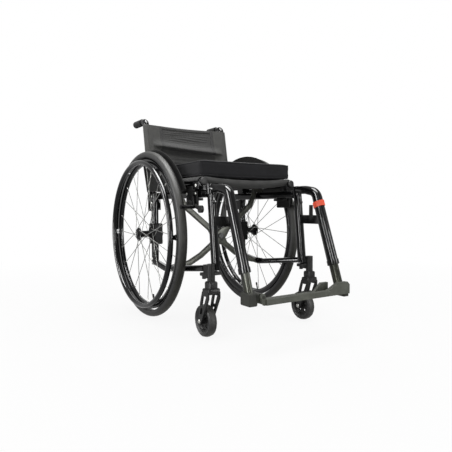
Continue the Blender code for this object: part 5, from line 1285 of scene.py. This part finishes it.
def add_plugs(side):
    """Domed plugs in both open ends of one seat rail."""
    middle, half = measure(f"seat_rail_{side}")
    dome = [
        (-PLUG_LENGTH, half.x * 0.7),
        (0, half.x * 0.98),
        (PLUG_LENGTH * 0.3, half.x),
        (PLUG_LENGTH * 0.8, half.x * 0.88),
        (PLUG_LENGTH, half.x * 0.5),
        (PLUG_LENGTH, 0),
    ]
    plugs = bmesh.new()
    for turn in (-1, 1):
        turn_about(dome, middle + Vector((0, turn * half.y, 0)), (0, turn, 0), 24, plugs)
    add_mesh(f"seat_rail_plugs_{side}", plugs, moulded_black, f"{side}_seat_rail")


def add_rail_bearer(side):
    """A ribbed nylon bearer behind the front saddle, just under the seat rail when open."""
    middle, half = measure(f"seat_rail_{side}")
    low_z = middle.z - half.z - BEARER_HEIGHT
    high_z = middle.z - half.z - BEARER_CLEARANCE
    shoulder_z = high_z - BEARER_CHAMFER
    outline = [(-1, low_z), (1, low_z), (1, shoulder_z)]
    outline += [(0.8, high_z), (-0.8, high_z), (-1, shoulder_z)]
    rings = []
    for index, y in enumerate(spaced(BEARER_FRONT_Y, BEARER_REAR_Y, 2 * BEARER_RIBS)):
        width = half.x - BEARER_INSET - BEARER_GROOVE * (index % 2)
        rings.append([(middle.x + width * x, y, z) for x, z in outline])
    bearer = bmesh.new()
    skin(bearer, rings)
    add_mesh(f"seat_rail_bearer_{side}", bearer, moulded_black, f"frame_{side}")


def add_frame_screws(side, sign):
    """The screws of one side's axle plate, posts, brake, saddles and back sling."""
    outward = Vector((sign, 0, 0))
    heads = []
    middle, half = measure(f"axle_plate_{side}")
    for z in (SCREW_EDGE - half.z, half.z - SCREW_EDGE):
        heads.append((middle - outward * half.x + Vector((0, 0, z)), -outward, SCREW_RADIUS))
    middle, half = measure(f"rear_post_{side}")
    for z in (POST_SCREW_LOW - half.z, half.z - SCREW_EDGE, half.z - POST_SCREW_HIGH):
        heads.append((middle + outward * half.x + Vector((0, 0, z)), outward, SCREW_RADIUS))
    middle, half = measure(f"brake_body_{side}")
    face = middle + outward * (half.x - BRAKE_PINS_STAND) + Vector((0, 0, half.z - SCREW_EDGE))
    for y in (BRAKE_SCREW_EDGE - half.y, half.y - BRAKE_SCREW_EDGE):
        heads.append((face + Vector((0, y, 0)), outward, SCREW_RADIUS))
    middle, half = measure(f"top_rail_{side}")
    for y in SADDLE_MIDDLES_Y:
        place = Vector((middle.x + sign * half.x, y, middle.z + half.z - SADDLE_SCREW_DROP))
        heads.append((place, outward, SADDLE_SCREW_RADIUS))
    low_z = back_low.z
    for z in (low_z + SLING_SCREW_EDGE, low_z + SLING_SCREW_MIDDLE, back_high.z - SLING_SCREW_EDGE):
        heads.append((back_point(sign * SLING_SCREW_U, z), (sign, 0.2, 0), SCREW_RADIUS))
    screws = bmesh.new()
    for place, direction, radius in heads:
        button_head(place, direction, radius, SCREW_HEIGHT, screws)
    add_mesh(f"frame_screws_{side}", screws, bright_zinc, f"frame_{side}")


for side, sign in CHAIR_SIDES.items():
    add_plugs(side)
    add_rail_bearer(side)
    add_frame_screws(side, sign)


# Stage
# A plain pale floor and soft studio light, as for a catalogue photograph. Bright cards give
# the gloss tubes their long highlights.
FLOOR_PALE = "#fefefe"
FLOOR_SIZE = 14.0
FLOOR_DROP = 0.0005
FLOOR_GLOW = 0.88
SHADOW_NEAR = 0.7
SHADOW_FAR = 2.2
STUDIO_STRENGTH = 0.5


def studio_floor():
    """A matt painted floor. Seen directly it glows to nearly white, and it keeps the shadow."""
    material, shader, place = new_finish("matt_white_floor", roughness=0.95, ior=1.3)
    shader.inputs["Base Color"].default_value = linear(FLOOR_PALE)
    rays = add_node(material, "ShaderNodeLightPath")
    kinds = {0: (rays, "Is Camera Ray"), 1: (rays, "Is Glossy Ray")}
    seen = add_node(material, "ShaderNodeMath", {"operation": "MAXIMUM"}, kinds)
    length = {"operation": "LENGTH"}
    away = add_node(material, "ShaderNodeVectorMath", length, {0: (place, "Object")})
    reach = {"From Min": SHADOW_NEAR, "From Max": SHADOW_FAR, "To Min": FLOOR_GLOW, "To Max": 1.0}
    spread = add_node(material, "ShaderNodeMapRange", reach, {"Value": (away, "Value")})
    both = {0: (seen, "Value"), 1: (spread, "Result")}
    share = add_node(material, "ShaderNodeMath", {"operation": "MULTIPLY"}, both)
    white = {"Color": linear("#ffffff"), "Strength": 1.0}
    glow = add_node(material, "ShaderNodeEmission", white)
    surfaces = {"Fac": (share, "Value"), 1: (shader, "BSDF"), 2: (glow, "Emission")}
    mix = add_node(material, "ShaderNodeMixShader", None, surfaces)
    output = material.node_tree.nodes["Material Output"]
    material.node_tree.links.new(mix.outputs["Shader"], output.inputs["Surface"])
    return material


def studio_world():
    """White where a camera, glass or gloss sees it, and a soft even light on everything else."""
    world = bpy.data.worlds.new("studio")
    world.use_nodes = True
    world.node_tree.nodes.clear()
    rays = add_node(world, "ShaderNodeLightPath")
    kinds = {0: (rays, "Is Camera Ray"), 1: (rays, "Is Transmission Ray")}
    seen = add_node(world, "ShaderNodeMath", {"operation": "MAXIMUM"}, kinds)
    kinds = {0: (seen, "Value"), 1: (rays, "Is Glossy Ray")}
    shown = add_node(world, "ShaderNodeMath", {"operation": "MAXIMUM"}, kinds)
    light = {"Color": linear("#ffffff"), "Strength": STUDIO_STRENGTH}
    soft = add_node(world, "ShaderNodeBackground", light)
    backdrop = {"Color": linear("#ffffff"), "Strength": 1.0}
    white = add_node(world, "ShaderNodeBackground", backdrop)
    surfaces = {"Fac": (shown, "Value"), 1: (soft, "Background"), 2: (white, "Background")}
    choice = add_node(world, "ShaderNodeMixShader", None, surfaces)
    add_node(world, "ShaderNodeOutputWorld", None, {"Surface": (choice, "Shader")})
    return world


def softbox(name, place, size, power):
    """A softbox of a width and height that looks at the middle of the chair."""
    light = bpy.data.lights.new(name, "AREA")
    light.shape = "RECTANGLE"
    light.size, light.size_y = size
    light.energy = power
    lamp = add_object(name, light)
    lamp.location = place
    aim = (model_low + model_high) / 2 - Vector(place)
    lamp.rotation_euler = aim.to_track_quat("-Z", "Y").to_euler()
    return lamp


floor_solid = bmesh.new()
edges = (-FLOOR_SIZE / 2, FLOOR_SIZE / 2)
floor_rows = [[(x, y, model_low.z - FLOOR_DROP) for x in edges] for y in edges]
skin(floor_solid, floor_rows, around=False)
floor_mesh = bpy.data.meshes.new("floor")
floor_solid.to_mesh(floor_mesh)
floor_solid.free()
floor_mesh.materials.append(studio_floor())
floor = add_object("floor", floor_mesh)
bpy.context.scene.world = studio_world()
lamps = [
    softbox("key_box", (-2.1, -1.3, 1.9), (1.2, 1.2), 13),
    softbox("fill_box", (1.4, -2.0, 1.4), (1.0, 1.2), 8),
    softbox("top_box", (0.1, 0.1, 2.7), (1.5, 1.5), 12),
    softbox("rear_box", (1.2, 2.1, 1.6), (1.0, 1.0), 7),
]
# The cards light no surface. They only show in its gloss.
cards = [
    softbox("top_card", (-0.4, -0.2, 2.6), (2.0, 1.4), 420),
    softbox("left_card", (-2.4, 0.7, 0.85), (0.45, 2.0), 190),
    softbox("front_card", (-2.3, -1.7, 0.75), (0.22, 1.9), 120),
    softbox("right_card", (0.9, -2.5, 0.75), (0.28, 1.9), 130),
]
for card in cards:
    card.visible_diffuse = False
bpy.context.scene.view_settings.view_transform = "Standard"
